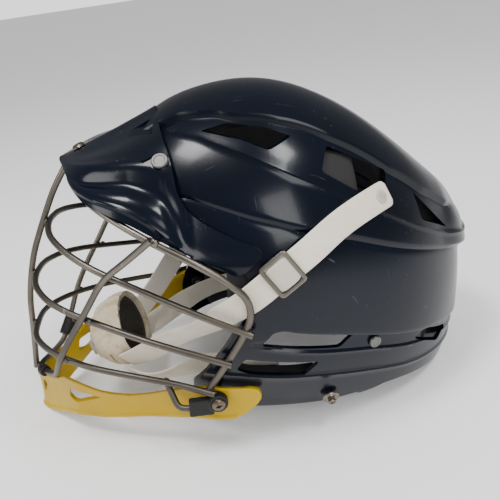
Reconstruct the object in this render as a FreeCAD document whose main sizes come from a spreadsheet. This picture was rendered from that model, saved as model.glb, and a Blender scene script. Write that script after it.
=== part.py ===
import FreeCAD, Part
import math
import os
from FreeCAD import Placement, Rotation, Vector

# Lacrosse helmet with a welded wire face cage, in millimetres.
# +X is the wearer's left, -Y is the face and +Z is up. The pieces are drawn with the helmet level, as worn, and
# are written leaning back a few degrees, as it rests on its chin guard and nape at z = 0.
os.makedirs("parts", exist_ok=True)
doc = FreeCAD.newDocument("helmet")
sheet = doc.addObject("Spreadsheet::Sheet", "Sizes")

SIZES = {
    "wire_diameter": 4.8,      # 3/16 inch cage wire
    "shell_wall": 3.6,
    "liner_gap": 0.8,          # between the shell and its foam
    "liner_foam": 14.0,
    "visor_wall": 3.0,
    "visor_gap": 0.4,          # between the visor and the shell
    "guard_wall": 3.4,
    "guard_height": 90.0,
    "strap_width": 19.0,       # 3/4 inch webbing
    "strap_thickness": 1.6,
    "buckle_bar": 3.0,
    "screw_head": 5.0,
    "screw_head_height": 2.4,
    "screw_shank": 2.5,
    "stud_base": 6.5,
    "stud_base_height": 1.2,
    "stud_post": 3.0,
    "stud_post_height": 4.0,
    "rivet_head": 4.6,
    "cup_length": 30.0,
    "cup_half_width": 35.0,
    "cup_half_height": 30.0,
    "cup_wall": 4.0,
    "cup_liner": 3.0,
    "bore_clearance": 0.2,
    "snap_cap": 6.6,
    "tab_width": 12.0,
    "rest_lean": 6.8,          # degrees, from level to resting on chin guard and nape
    "rest_rise": -21.55,       # puts the chin guard's lowest edge at z = 0
    "rest_shift": -5.05,       # centres the resting helmet on y = 0
}

# Stations of the head form, front to back: place along Y, half width, crown height and virtual keel height.
# The shell, its inner wall and its foam are all lofts through ellipses at these stations.
STATIONS = [
    (-99.0, 22.0, 208.0, 126.0),
    (-91.0, 62.0, 230.0, 86.0),
    (-71.0, 90.0, 250.0, 36.0),
    (-40.0, 103.0, 265.0, -5.0),
    (5.0, 113.5, 271.0, -15.0),
    (53.0, 109.5, 259.0, -25.0),
    (101.0, 97.0, 231.0, -24.0),
    (143.0, 72.0, 198.0, -12.0),
    (164.0, 49.0, 180.0, 4.0),
    (175.0, 29.0, 164.0, 24.0),
    (180.0, 11.0, 144.0, 52.0),
]
STATION_KEYS = ("place", "width", "crown", "keel")

for number, station in enumerate(STATIONS, 1):
    for key, value in zip(STATION_KEYS, station):
        SIZES[f"station_{number}_{key}"] = value
SIZES["form_middle"] = (STATIONS[0][0] + STATIONS[-1][0]) / 2
SIZES["form_half_length"] = (STATIONS[-1][0] - STATIONS[0][0]) / 2

for row, (alias, value) in enumerate(SIZES.items(), 1):
    sheet.set(f"A{row}", alias)
    sheet.set(f"B{row}", str(value))
    sheet.setAlias(f"B{row}", alias)
doc.recompute()

# Sketch planes: across the helmet (seen from the left side) and level (seen from above).
SIDE_VIEW = Rotation(Vector(0, 1, 0), Vector(0, 0, 1), Vector(1, 0, 0))
FRONT_SECTION = Rotation(Vector(0, 0, 1), Vector(1, 0, 0), Vector(0, 1, 0))
HALF_REACH = 130.0             # more than half the helmet's width
parts = {}


def size(alias):
    return float(sheet.get(alias))


def keep(label, thing):
    thing.Label = label
    parts[label] = thing
    return thing


def add(kind, name, **values):
    thing = doc.addObject(kind, name)
    for key, value in values.items():
        setattr(thing, key, value)
    return thing


def bind(thing, **expressions):
    for key, text in expressions.items():
        thing.setExpression(key.replace("__", "."), text)
    return thing


def mirrored(points):
    """The points on the wearer's left followed, from the middle out, by their mirror images."""
    other = [(-x, y, z) for x, y, z in points if x > 0]
    return list(reversed(points)) + other if points[0][0] == 0 else other


# ---------------------------------------------------------------- outlines and prisms

def outline(name, points, holes=()):
    """A closed outline in side view, as a sketch of straight sides through (y, z) points."""
    sketch = add("Sketcher::SketchObject", name, Placement=Placement(Vector(), SIDE_VIEW))
    for loop in (points, *holes):
        corners = [Vector(y, z, 0) for y, z in loop]
        for start, end in zip(corners, corners[1:] + corners[:1]):
            sketch.addGeometry(Part.LineSegment(start, end), False)
    return sketch


def prism(name, points, low=-HALF_REACH, high=HALF_REACH):
    """A side-view outline carried across the helmet from x = low to x = high."""
    return add("Part::Extrusion", name, Base=outline(name + "_outline", points), DirMode="Custom",
               Dir=Vector(1, 0, 0), LengthFwd=high, LengthRev=-low, Solid=True)


def fuse(name, things):
    return add("Part::MultiFuse", name, Shapes=things)


def cut(name, base, tool):
    return add("Part::Cut", name, Base=base, Tool=tool)


def common(name, base, tool):
    return add("Part::Common", name, Base=base, Tool=tool)


def bore(name, place, direction, reach):
    """A round cutter along a fastener's axis, running the reach inwards and as far outwards."""
    axis = Vector(*direction).normalize()
    tool = add("Part::Cylinder", name,
               Placement=Placement(Vector(*place) - axis * reach, Rotation(Vector(0, 0, 1), axis)))
    tool.Height = 2 * reach
    return bind(tool, Radius="Sizes.screw_shank + Sizes.bore_clearance")


def both_sides(place, direction):
    x, y, z = place
    dx, dy, dz = direction
    return [("left", (x, y, z), (dx, dy, dz)), ("right", (-x, y, z), (-dx, dy, dz))]


# Fasteners on the left side: a point on the outer face and the direction outwards.
CENTRE_SCREW = ((0, -126.5, 229.6), (0, -0.42, 0.91))
SIDE_SNAP = ((66, -68, 233.4), (0.62, -0.15, 0.77))
RIVET = ((105, 74, 102), (0.97, 0.22, -0.06))
STUD = ((101.4, 44, 54), (0.95, 0.03, -0.31))
JAW_SCREW = ((106.8, -41, 64), (1, 0, 0))

# ---------------------------------------------------------------- shell and liner

def head_form(name, inset, first=1, last=len(STATIONS)):
    """The head form, shrunk all round by the inset (an expression), as a loft through its stations."""
    sections = []
    for number in range(first, last + 1):
        ring = add("Part::Ellipse", f"{name}_{number}", Placement=Placement(Vector(), FRONT_SECTION))
        at = f"Sizes.station_{number}_"
        shrink = f"(1 - ({inset}) / Sizes.form_half_length)"
        bind(ring, MajorRadius=f"({at}crown - {at}keel) / 2 - ({inset})",
             MinorRadius=f"{at}width - ({inset})",
             Placement__Base__y=f"Sizes.form_middle + ({at}place - Sizes.form_middle) * {shrink}",
             Placement__Base__z=f"({at}crown + {at}keel) / 2")
        sections.append(ring)
    return add("Part::Loft", name, Sections=sections, Solid=True, Ruled=False)


WALL = "Sizes.shell_wall"
FOAM_OUT = "Sizes.shell_wall + Sizes.liner_gap"
FOAM_IN = "Sizes.shell_wall + Sizes.liner_gap + Sizes.liner_foam"

# The shell's edge in side view: brow, temple, jaw front, ear rim and nape.
SHELL_EDGE = [(-112, 290), (195, 290), (195, 42), (160, 44), (130, 50), (106, 53), (88, 53), (68, 50), (45, 46),
              (20, 45), (-14, 42), (-50, 38), (-56, 46), (-57, 66), (-38, 103), (-27, 124), (-16, 145), (-15, 160),
              (-30, 176), (-55, 190), (-75, 200), (-112, 204)]
# Openings through both sides of the shell.
SHELL_VENTS = {
    "crown_vent": [(-38, 247), (-20, 252), (2, 250), (18, 244), (2, 238), (-22, 244)],
    "rear_vent": [(45, 236), (91, 213), (87, 205), (75, 202), (38, 223)],
    "knob_vent": [(115, 195), (148, 161), (117, 178)],
    "ear_slot_upper": [(-9, 113), (-3, 124), (3, 126), (56, 113), (45, 104)],
    "ear_slot_lower": [(-26, 89), (-21, 100), (31, 94), (22, 83), (-19, 86)],
    "nape_vent": [(111, 92), (125, 94), (150, 82), (141, 73)],
}

form_outside = head_form("form_outside", "0")
form_wall = cut("form_wall", form_outside, head_form("form_inside", WALL))
form_trimmed = common("form_trimmed", form_wall, prism("shell_edge", SHELL_EDGE))
openings = [prism(name, points) for name, points in SHELL_VENTS.items()]
for fastener, seat in (("snap", SIDE_SNAP), ("rivet", RIVET), ("stud", STUD), ("jaw", JAW_SCREW)):
    openings += [bore(f"shell_{fastener}_bore_{side}", place, out, 25) for side, place, out in both_sides(*seat)]
keep("shell", cut("shell", form_trimmed, fuse("shell_openings", openings)))

foam = cut("foam", head_form("foam_outside", FOAM_OUT), head_form("foam_inside", FOAM_IN, 2, 9))


def pad(label, low, high):
    """One foam pad: the part of the foam layer that lies in a box."""
    box = add("Part::Box", label + "_block", Length=high[0] - low[0], Width=high[1] - low[1],
              Height=high[2] - low[2], Placement=Placement(Vector(*low), Rotation()))
    keep(label, common(label, foam, box))


pad("forehead_pad", (-48, -90, 208), (48, -52, 262))
pad("crown_pad", (-34, -44, 225), (34, 78, 275))
pad("back_pad", (-40, 92, 150), (40, 182, 240))
for side, sign in (("left", 1), ("right", -1)):
    low_x, high_x = sorted((40 * sign, 120 * sign))
    pad(f"side_pad_{side}", (low_x, -30, 138), (high_x, 66, 232))
    pad(f"jaw_pad_{side}", (low_x, -34, 48), (high_x, 36, 80))

# ---------------------------------------------------------------- visor

# Stations of the visor's outer face: place along Y, half width, springing height and top height.
VISOR_STATIONS = [(-141, 7, 216, 223), (-134, 34, 214, 225.5), (-120, 66, 204, 232), (-100, 84, 195, 241),
                  (-85, 92, 185, 248), (-71, 98, 170, 254.5), (-40, 109, 122, 269), (5, 118.5, 117, 274.5),
                  (20, 118.5, 116, 273)]
VISOR_EDGE = [(-142, 221), (-135, 220), (-130, 215), (-125, 210), (-120, 208), (-101, 203), (-90, 199), (-73, 190),
              (-52, 178), (-22, 166), (-6, 179.5), (-28, 189), (-44, 198), (-55, 207), (-60, 216), (-60, 232),
              (-66, 262), (-66, 290), (-142, 290)]


def arch(place, half_width, springing, top):
    """Half an ellipse standing on a straight foot, as one closed wire across the helmet."""
    turns = [math.pi * step / 12 for step in range(13)]
    rise = top - springing
    points = [Vector(half_width * math.cos(t), place, springing + rise * math.sin(t)) for t in turns]
    curve = Part.BSplineCurve()
    curve.interpolate(points)
    return Part.Wire([curve.toShape(), Part.makeLine(points[-1], points[0])])


def arch_form(name, inset):
    sections = [arch(y, w - inset, z, top - inset) for y, w, z, top in VISOR_STATIONS]
    if inset:
        sections[0] = arch(VISOR_STATIONS[0][0] + inset, VISOR_STATIONS[0][1], VISOR_STATIONS[0][2],
                           VISOR_STATIONS[0][3] - inset)
    return add("Part::Feature", name, Shape=Part.makeLoft(sections, True, False))


visor_wall = cut("visor_wall", arch_form("visor_outside", 0), arch_form("visor_inside", size("visor_wall")))
visor_trimmed = common("visor_trimmed", visor_wall, prism("visor_edge", VISOR_EDGE))
visor_clear = head_form("visor_clearance", "-Sizes.visor_gap")
visor_bores = [bore("visor_centre_bore", *CENTRE_SCREW, 12)]
visor_bores += [bore(f"visor_snap_bore_{side}", place, out, 12) for side, place, out in both_sides(*SIDE_SNAP)]
keep("visor", cut("visor", visor_trimmed, fuse("visor_clearances", [visor_clear, *visor_bores])))

# ---------------------------------------------------------------- cage wires

def rounded_route(points, share=0.45):
    """Straight runs joined by tangent arcs, each as large as its two runs allow."""
    corners = [Vector(*point) for point in points]
    edges = []
    start = corners[0]
    for before, corner, after in zip(corners, corners[1:], corners[2:]):
        to_before = (before - corner).normalize()
        to_after = (after - corner).normalize()
        reach = share * min((before - corner).Length, (after - corner).Length)
        first = corner + to_before * reach
        last = corner + to_after * reach
        bisector = (to_before + to_after).normalize()
        half_angle = to_before.getAngle(to_after) / 2
        centre_distance = reach / math.cos(half_angle)
        radius = reach * math.tan(half_angle)
        middle = corner + bisector * (centre_distance - radius)
        edges.append(Part.makeLine(start, first))
        edges.append(Part.Arc(first, middle, last).toShape())
        start = last
    edges.append(Part.makeLine(start, corners[-1]))
    return Part.Wire(edges)


def wire(label, points):
    """A round wire: a circle of the wire's diameter swept along a rounded route."""
    route = add("Part::Feature", label + "_route", Shape=rounded_route(points))
    start = Vector(*points[0])
    along = Rotation(Vector(0, 0, 1), Vector(*points[1]) - start)
    ring = add("Part::Circle", label + "_ring", Placement=Placement(start, along))
    bind(ring, Radius="Sizes.wire_diameter / 2")
    names = [f"Edge{number}" for number in range(1, len(route.Shape.Edges) + 1)]
    sweep = add("Part::Sweep", label, Sections=[ring], Spine=(route, names), Solid=True, Frenet=False,
                Transition="Right corner")
    return keep(label, sweep)


# Half of each wire, from the middle to the wearer's left.
UPPER_BAR = [(0, -157.5, 173), (28, -153, 171.5), (50, -139, 166.5), (66, -121, 160), (84, -88, 149),
             (104.5, -48, 136), (116.5, -17, 125.5)]
MIDDLE_BAR = [(0, -173.5, 129.5), (22, -171, 129), (43, -160, 126.5), (58, -143, 123), (70, -122, 118.5),
              (89, -86, 111), (110.5, -31, 99.5)]
LOWER_BAR = [(0, -179.9, 83.5), (22, -178.5, 83.3), (40, -167, 82.3), (53, -153, 81), (67, -131, 79),
             (80, -98, 76), (90, -70, 73.5), (104.5, -43, 71.5)]
RIM = [(0, -136, 212.5), (26, -132, 211), (50, -123, 208), (70, -110, 203), (86, -92, 195.5), (98, -75, 188.5),
       (108.5, -53, 179), (115, -34, 168), (117.5, -20, 155), (116.5, -17.5, 140), (111, -22.5, 122),
       (106.5, -34, 98), (99, -47, 72)]
SIDE_LOOP = [(0, -186, 41), (14, -177, 42.5), (27, -167, 48), (39, -163, 59), (49, -159, 70), (58, -154.5, 83),
             (64, -146, 100), (69.3, -132.7, 122), (75.2, -113.5, 155.5), (88, -95, 174), (99, -77.5, 192.5)]
CENTRE_BAR = [(0, -136.5, 218), (0, -149.5, 198), (0, -161, 173.5), (0, -171.7, 149), (0, -177.8, 128),
              (0, -182.3, 106), (0, -184.2, 82), (0, -188.3, 39.5)]
HOOK = [(84.5, -77, 73), (91, -73.5, 66), (98, -69.5, 58), (101.5, -61, 59), (102.2, -50, 60)]

wire("cage_upper_bar", mirrored(UPPER_BAR))
wire("cage_middle_bar", mirrored(MIDDLE_BAR))
wire("cage_lower_bar", mirrored(LOWER_BAR))
wire("cage_rim", mirrored(RIM))
wire("cage_side_loop", mirrored(SIDE_LOOP))
wire("cage_centre_bar", CENTRE_BAR)
wire("cage_hook_left", HOOK)
wire("cage_hook_right", mirrored(HOOK))

# ---------------------------------------------------------------- chin guard

GUARD_PLAN = [(0, -187), (20, -171), (44, -150), (58, -129), (69, -107), (79, -86), (90, -62), (101, -38), (107, -10)]
GUARD_TOP = [(-190, 34), (-166, 43), (-160, 50), (-150, 51.5), (-120, 51.5), (-105, 53), (-90, 57), (-75, 64),
             (-62, 70), (-44, 74), (-12, 73)]
GUARD_BOTTOM = [(-8, 66), (-19, 53), (-28, 47), (-40, 45), (-62, 42), (-92, 36), (-108, 31), (-129, 25), (-150, 19),
                (-177, 2), (-182, 0), (-192, 0)]
GUARD_WINDOW = [(-155, 42), (-130, 44), (-141, 34), (-154, 29), (-157, 32)]


def plan_offset(points, distance):
    """The same open run of points, moved inwards by the distance at each point."""
    moved = []
    for index, (x, y) in enumerate(points):
        before = points[max(index - 1, 0)]
        after = points[min(index + 1, len(points) - 1)]
        along = Vector(after[0] - before[0], after[1] - before[1], 0).normalize()
        if index == 0:
            along = Vector(1, 0.35, 0).normalize()
        moved.append((max(x - along.y * distance, 0) if index else 0, y + along.x * distance))
    return moved


def origin_plane(body, role):
    return next(feature for feature in body.Origin.OriginFeatures if feature.Role == role)


def plan_sketch(body, name, loop):
    sketch = body.newObject("Sketcher::SketchObject", name)
    sketch.AttachmentSupport = [(origin_plane(body, "XY_Plane"), "")]
    sketch.MapMode = "FlatFace"
    corners = [Vector(x, y, 0) for x, y in loop]
    for start, end in zip(corners, corners[1:] + corners[:1]):
        sketch.addGeometry(Part.LineSegment(start, end), False)
    return sketch


def whole_plan(half):
    return [(-x, y) for x, y in reversed(half)] + half[1:]


full_outside = whole_plan(GUARD_PLAN)
full_inside = whole_plan(plan_offset(GUARD_PLAN, size("guard_wall")))
guard_body = doc.addObject("PartDesign::Body", "guard_band")
guard_plan = plan_sketch(guard_body, "guard_plan", full_outside + list(reversed(full_inside)))
doc.recompute()
guard_pad = guard_body.newObject("PartDesign::Pad", "guard_pad")
guard_pad.Profile = guard_plan
bind(guard_pad, Length="Sizes.guard_height")
guard_side = prism("guard_side", GUARD_TOP + GUARD_BOTTOM)
guard_trimmed = common("guard_trimmed", guard_body, guard_side)
guard_window = prism("guard_window", GUARD_WINDOW)
guard_slot = add("Part::Cylinder", "guard_slot", Radius=2.2, Height=20,
                 Placement=Placement(Vector(6, -190, 24), Rotation(Vector(1, 0, 0), -90)))
guard_bores = [bore(f"guard_bore_{side}", place, out, 25) for side, place, out in both_sides(*JAW_SCREW)]
guard_openings = fuse("guard_openings", [guard_window, guard_slot, *guard_bores])
keep("chin_guard", cut("chin_guard", guard_trimmed, guard_openings))

# ---------------------------------------------------------------- turned fasteners

def turned(name, profile, place, direction):
    """A turned piece: a profile of (radius, height) sizes revolved about its axis, standing on a place."""
    body = doc.addObject("PartDesign::Body", name)
    sketch = body.newObject("Sketcher::SketchObject", name + "_profile")
    sketch.AttachmentSupport = [(origin_plane(body, "XZ_Plane"), "")]
    sketch.MapMode = "FlatFace"
    corners = [Vector(radius, height, 0) for radius, height in profile]
    for start, end in zip(corners, corners[1:] + corners[:1]):
        sketch.addGeometry(Part.LineSegment(start, end), False)
    doc.recompute()
    turn = body.newObject("PartDesign::Revolution", name + "_turn")
    turn.Profile = sketch
    turn.ReferenceAxis = (sketch, ["V_Axis"])
    turn.Angle = 360
    body.Placement = Placement(Vector(*place), Rotation(Vector(0, 0, 1), Vector(*direction)))
    return body


def screw_profile(length):
    """A button-head screw: the head's dome outside, the shank running inwards from the seat at height 0."""
    head, height, shank = size("screw_head"), size("screw_head_height"), size("screw_shank")
    return [(0, height), (head * 0.55, height * 0.92), (head * 0.9, height * 0.5), (head, 0), (shank, 0),
            (shank, -length), (0, -length)]


def pair(label, profile, seat):
    """Two identical turned pieces, one each side, kept as one group of separate solids."""
    twins = [turned(f"{label}_{side}", profile, place, out) for side, place, out in both_sides(*seat)]
    return keep(label, add("Part::Compound", label, Links=twins))


stud_out = [(0, size("stud_base_height") + size("stud_post_height")),
            (size("stud_post"), size("stud_base_height") + size("stud_post_height")),
            (size("stud_post"), size("stud_base_height")), (size("stud_base"), size("stud_base_height")),
            (size("stud_base"), 0), (size("screw_shank"), 0), (size("screw_shank"), -5), (0, -5)]
rivet = [(0, 1.4), (size("rivet_head") * 0.7, 1.1), (size("rivet_head"), 0.2), (size("rivet_head"), 0),
         (size("screw_shank"), 0), (size("screw_shank"), -5), (0, -5)]
side_snap = [(0, 3.0), (4.6, 2.8), (5.6, 1.6), (5.6, 0), (size("screw_shank"), 0), (size("screw_shank"), -7), (0, -7)]
jaw_nut = [(2.56, -26), (6.5, -26), (6.5, -23.2), (2.56, -23.2)]

keep("visor_centre_screw", turned("visor_centre_screw", screw_profile(9), *CENTRE_SCREW))
pair("visor_side_snaps", side_snap, SIDE_SNAP)
pair("shell_rivets", rivet, RIVET)
pair("lower_strap_studs", stud_out, STUD)
pair("jaw_screws", screw_profile(27), JAW_SCREW)
pair("jaw_nuts", jaw_nut, JAW_SCREW)

# ---------------------------------------------------------------- wire clips

def block(name, low, high):
    return add("Part::Box", name, Length=high[0] - low[0], Width=high[1] - low[1], Height=high[2] - low[2],
               Placement=Placement(Vector(*low), Rotation()))


for side, sign in (("left", 1), ("right", -1)):
    low_x, high_x = sorted((99.0 * sign, 105.2 * sign))
    arm = block(f"clip_arm_{side}", (low_x, -62, 54), (high_x, -44, 67))
    outwards = Rotation(Vector(0, 0, 1), Vector(sign, 0, 0))
    boss = add("Part::Cylinder", f"clip_boss_{side}", Radius=7.2, Height=6.9,
               Placement=Placement(Vector(99.8 * sign, -41, 64), outwards))
    clip_bore = add("Part::Cylinder", f"clip_bore_{side}", Height=20,
                    Placement=Placement(Vector(90 * sign, -41, 64), outwards))
    bind(clip_bore, Radius="Sizes.screw_shank + Sizes.bore_clearance")
    solid = fuse(f"clip_solid_{side}", [arm, boss])
    keep(f"jaw_clip_{side}", cut(f"jaw_clip_{side}", solid, clip_bore))

ring_turn = Rotation(Vector(0, 0, 1), Vector(13, 9, 2))
clip_ring = add("Part::Cylinder", "chin_clip_ring", Radius=4.6, Height=7,
                Placement=Placement(Vector(7, -182.2, 41.4), ring_turn))
clip_tongue = block("chin_clip_tongue", (3.5, -181.5, 24), (9.5, -176, 40))
keep("chin_clip", fuse("chin_clip", [clip_ring, clip_tongue]))
cheek_turn = Rotation(Vector(0, 0, 1), Vector(-12, 6, 12))
keep("cheek_clip", add("Part::Cylinder", "cheek_clip", Radius=6.0, Height=18,
                       Placement=Placement(Vector(-30.5, -166.2, 50), cheek_turn)))
keep("cheek_clip_screw", turned("cheek_clip_screw", [(0, 1.8), (3.4, 1.2), (3.6, 0), (0, 0)], (-37.5, -158.4, 60),
                                (0.35, 0.9, 0.25)))

# ---------------------------------------------------------------- chin cup

CUP_AXIS = (0, -88, 74)        # where the straps meet the cup's sides
CUP_CENTRE = Vector(0, -108, 70)
CUP_TILT = Rotation(Vector(1, 0, 0), -18)


def cup_form(name, inset):
    form = add("Part::Ellipsoid", name, Angle1=-90, Angle2=90, Angle3=360)
    form.Placement = Placement(CUP_CENTRE, CUP_TILT)
    return bind(form, Radius1=f"Sizes.cup_half_height - {inset}", Radius2=f"Sizes.cup_half_width - {inset}",
                Radius3=f"Sizes.cup_length - {inset}")


def half_space(name, behind):
    """A block that holds everything behind a plane across the cup."""
    corner = CUP_CENTRE + CUP_TILT.multVec(Vector(-60, behind, -60))
    return add("Part::Box", name, Length=120, Width=80, Height=120, Placement=Placement(corner, CUP_TILT))


cup_shell = cut("cup_shell", cup_form("cup_outside", "0"), cup_form("cup_inside", "Sizes.cup_wall"))
keep("chin_cup", cut("chin_cup", cup_shell, half_space("cup_mouth", 8)))
liner_shell = cut("cup_liner_shell", cup_form("cup_liner_outside", "(Sizes.cup_wall + 0.2)"),
                  cup_form("cup_liner_inside", "(Sizes.cup_wall + Sizes.cup_liner + 0.2)"))
keep("chin_cup_liner", cut("chin_cup_liner", liner_shell, half_space("cup_liner_mouth", 4)))
keep("chin_cup_snap", turned("chin_cup_snap", [(0, 2.0), (5, 1.7), (6.6, 0.4), (6.6, 0), (0, 0)],
                             (8, -136.6, 58.5), (0.3, -0.9, -0.32)))

# ---------------------------------------------------------------- webbing

doc.recompute()


def skin(y, z, clearance=0.0):
    """A point this far off the head form's left face, and the outward normal there."""
    def face_x(at_y, at_z):
        ray = Part.makeLine(Vector(HALF_REACH, at_y, at_z), Vector(0, at_y, at_z))
        return form_outside.Shape.common(ray).BoundBox.XMax
    here = face_x(y, z)
    slope_y = face_x(y + 2, z) - face_x(y - 2, z)
    slope_z = face_x(y, z + 2) - face_x(y, z - 2)
    out = Vector(4, -slope_y, -slope_z).normalize()
    return Vector(here, y, z) + out * clearance, out


def webbing(label, stations, width="strap_width"):
    """A flat strap through stations, each a centre and the direction of the strap's width."""
    half_width, half_thickness = size(width) / 2, size("strap_thickness") / 2
    centres = [Vector(*centre) for centre, _ in stations]
    sections = []
    for index, (_, across) in enumerate(stations):
        before = centres[max(index - 1, 0)]
        after = centres[min(index + 1, len(centres) - 1)]
        along = (after - before).normalize()
        width_way = Vector(*across)
        width_way = (width_way - along * width_way.dot(along)).normalize()
        normal = along.cross(width_way)
        corners = [centres[index] + width_way * a * half_width + normal * b * half_thickness
                   for a, b in ((1, 1), (1, -1), (-1, -1), (-1, 1))]
        sections.append(Part.makePolygon(corners + corners[:1]))
    return keep(label, add("Part::Feature", label, Shape=Part.makeLoft(sections, True, True)))


def flip(stations, sign):
    return [((x * sign, y, z), (a * sign, b, c)) for (x, y, z), (a, b, c) in stations]


def on_skin(y, z, ahead_y, ahead_z, clearance):
    """A strap station on the shell, heading for the point ahead."""
    here, out = skin(y, z, clearance)
    ahead, _ = skin(ahead_y, ahead_z, clearance)
    return tuple(here), tuple(out.cross(ahead - here).normalize())


STRAP_CLEARANCE = 2.0          # from the shell to the middle of the strap's thickness
BUCKLE_CLEARANCE = 2.9
BUCKLE_HALF_LENGTH = 11.0
STRAIGHT_BEHIND = 23.0         # of strap, so that the buckle slides 10 back
STRAIGHT_AHEAD = 17.0          # and 4 towards the chin
buckle_place, buckle_out = skin(4, 167, BUCKLE_CLEARANCE)
strap_along = Vector(0.03, -0.79, -0.61)
strap_along = (strap_along - buckle_out * strap_along.dot(buckle_out)).normalize()
strap_across = buckle_out.cross(strap_along)
behind_buckle = buckle_place - strap_along * STRAIGHT_BEHIND
before_buckle = buckle_place + strap_along * STRAIGHT_AHEAD
upper_strap = [on_skin(84, 202, 60, 197, STRAP_CLEARANCE), on_skin(62, 198, 40, 188, STRAP_CLEARANCE),
               on_skin(42, 191, 20, 178, STRAP_CLEARANCE + 0.6),
               (tuple(behind_buckle), tuple(strap_across)), (tuple(before_buckle), tuple(strap_across)),
               ((111.5, -21.5, 147.5), (0.1, 0.6, -0.78)), ((105.5, -31, 138.5), (0, 0.55, -0.8)),
               ((88, -46, 119), (-0.3, 0.6, -0.74)),
               ((62, -68, 95), (-0.3, 0.5, -0.8)), ((46, -85, 80), (-0.2, 0.3, -0.93))]
LOWER_STRAP = [((36, -92, 48), (-0.5, -0.3, 0.8)), ((48, -74, 54), (-0.4, -0.2, 0.9)), ((55, -50, 63), (-0.2, 0, 1)),
               ((67, -20, 68), (-0.1, 0, 1)), ((73, 12, 68), (-0.1, 0, 1))]
FIT_TAB = [((37, 148, 70), (0.2, 0.1, 1)), ((58, 134, 62), (0.2, 0.1, 1)), ((73, 112, 54), (0.2, 0.1, 1)),
           ((81, 92, 47), (0.3, 0.1, 0.9)), ((84, 72, 42), (0.5, 0.1, 0.8))]

for side, sign in (("left", 1), ("right", -1)):
    webbing(f"upper_strap_{side}", flip(upper_strap, sign))
    webbing(f"lower_strap_{side}", flip(LOWER_STRAP, sign))
    webbing(f"fit_tab_{side}", flip(FIT_TAB, sign), "tab_width")
strap_end, strap_next = Vector(*upper_strap[0][0]), Vector(*upper_strap[1][0])
_, snap_out = skin(80, 201)
snap_place = strap_end + (strap_next - strap_end) * 0.42 + snap_out * (size("strap_thickness") / 2 + 0.5)
cap = size("snap_cap")
pair("upper_strap_snaps", [(0, 2.4), (cap * 0.7, 2.1), (cap, 0.9), (cap, 0), (0, 0)],
     (tuple(snap_place), tuple(snap_out)))

# ---------------------------------------------------------------- rear fit cradle

CRADLE_WAY = (0, -1, 0)        # the cradle closes on the head forwards
cradle_block = add("Part::Box", "cradle_block", Length=92, Width=70, Height=78,
                   Placement=Placement(Vector(-46, 115, 60), Rotation()))
keep("fit_cradle", common("fit_cradle", foam, cradle_block))

# ---------------------------------------------------------------- strap slide buckles

def buckle(side, sign):
    """A three-bar slide: side rails joined by an outer bar at each end and a middle bar under the strap."""
    bar = size("buckle_bar")
    half_length, half_width, rail = BUCKLE_HALF_LENGTH, size("strap_width") / 2 + 3.4, 2.6
    gap = size("strap_thickness") / 2 + 0.35
    pieces = []
    for name, place, extent in (
            ("top_bar", (-half_length, -half_width, gap), (bar, 2 * half_width, 1.8)),
            ("low_bar", (half_length - bar, -half_width, gap), (bar, 2 * half_width, 1.8)),
            ("middle_bar", (-bar / 2, -half_width, -gap - 1.1), (bar, 2 * half_width, 1.1)),
            ("front_rail", (-half_length, -half_width, -gap - 1.1), (2 * half_length, rail, 2 * gap + 2.9)),
            ("rear_rail", (-half_length, half_width - rail, -gap - 1.1), (2 * half_length, rail, 2 * gap + 2.9))):
        piece = add("Part::Box", f"buckle_{side}_{name}", Length=extent[0], Width=extent[1], Height=extent[2])
        piece.Placement = Placement(Vector(*place), Rotation())
        pieces.append(piece)
    frame = fuse(f"buckle_{side}", pieces)
    along = Vector(strap_along.x * sign, strap_along.y, strap_along.z)
    out = Vector(buckle_out.x * sign, buckle_out.y, buckle_out.z)
    place = Vector(buckle_place.x * sign, buckle_place.y, buckle_place.z)
    frame.Placement = Placement(place, Rotation(along, Vector(), out, "ZXY"))
    keep(f"buckle_{side}", frame)


buckle("left", 1)
buckle("right", -1)

# ---------------------------------------------------------------- check and write

resting = Placement(Vector(0, size("rest_shift"), size("rest_rise")), Rotation(Vector(1, 0, 0), -size("rest_lean")))
doc.recompute()
for thing in doc.Objects:
    if "Invalid" in thing.State or "Error" in thing.State:
        raise RuntimeError(f"{thing.Name} failed: {thing.State}")
for label, thing in parts.items():
    shape = thing.Shape
    if shape.isNull() or not shape.isValid():
        raise RuntimeError(f"{label} has no valid shape")
    shape = shape.copy()
    shape.Placement = resting * shape.Placement
    shape.exportStep(f"parts/{label}.step")
    box = shape.BoundBox
    print(f"{label:22s} {shape.Volume / 1000:8.2f} cm3  x {box.XMin:7.1f} {box.XMax:7.1f}"
          f"  y {box.YMin:7.1f} {box.YMax:7.1f}  z {box.ZMin:7.1f} {box.ZMax:7.1f}")
for name, spot in (("buckle", buckle_place), ("cup axis", Vector(*CUP_AXIS)), ("stud", Vector(*STUD[0]))):
    print(name, [round(value, 3) for value in resting.multVec(spot)])
for name, way in (("buckle slide", strap_along), ("cradle slide", Vector(*CRADLE_WAY)), ("stud out", Vector(*STUD[1]))):
    print(name, [round(value, 5) for value in resting.Rotation.multVec(way.normalize())])
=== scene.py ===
"""A lacrosse helmet with a wire face cage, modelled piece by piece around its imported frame."""
import math

import bpy
import numpy as np
from mathutils import Matrix, Vector


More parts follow.
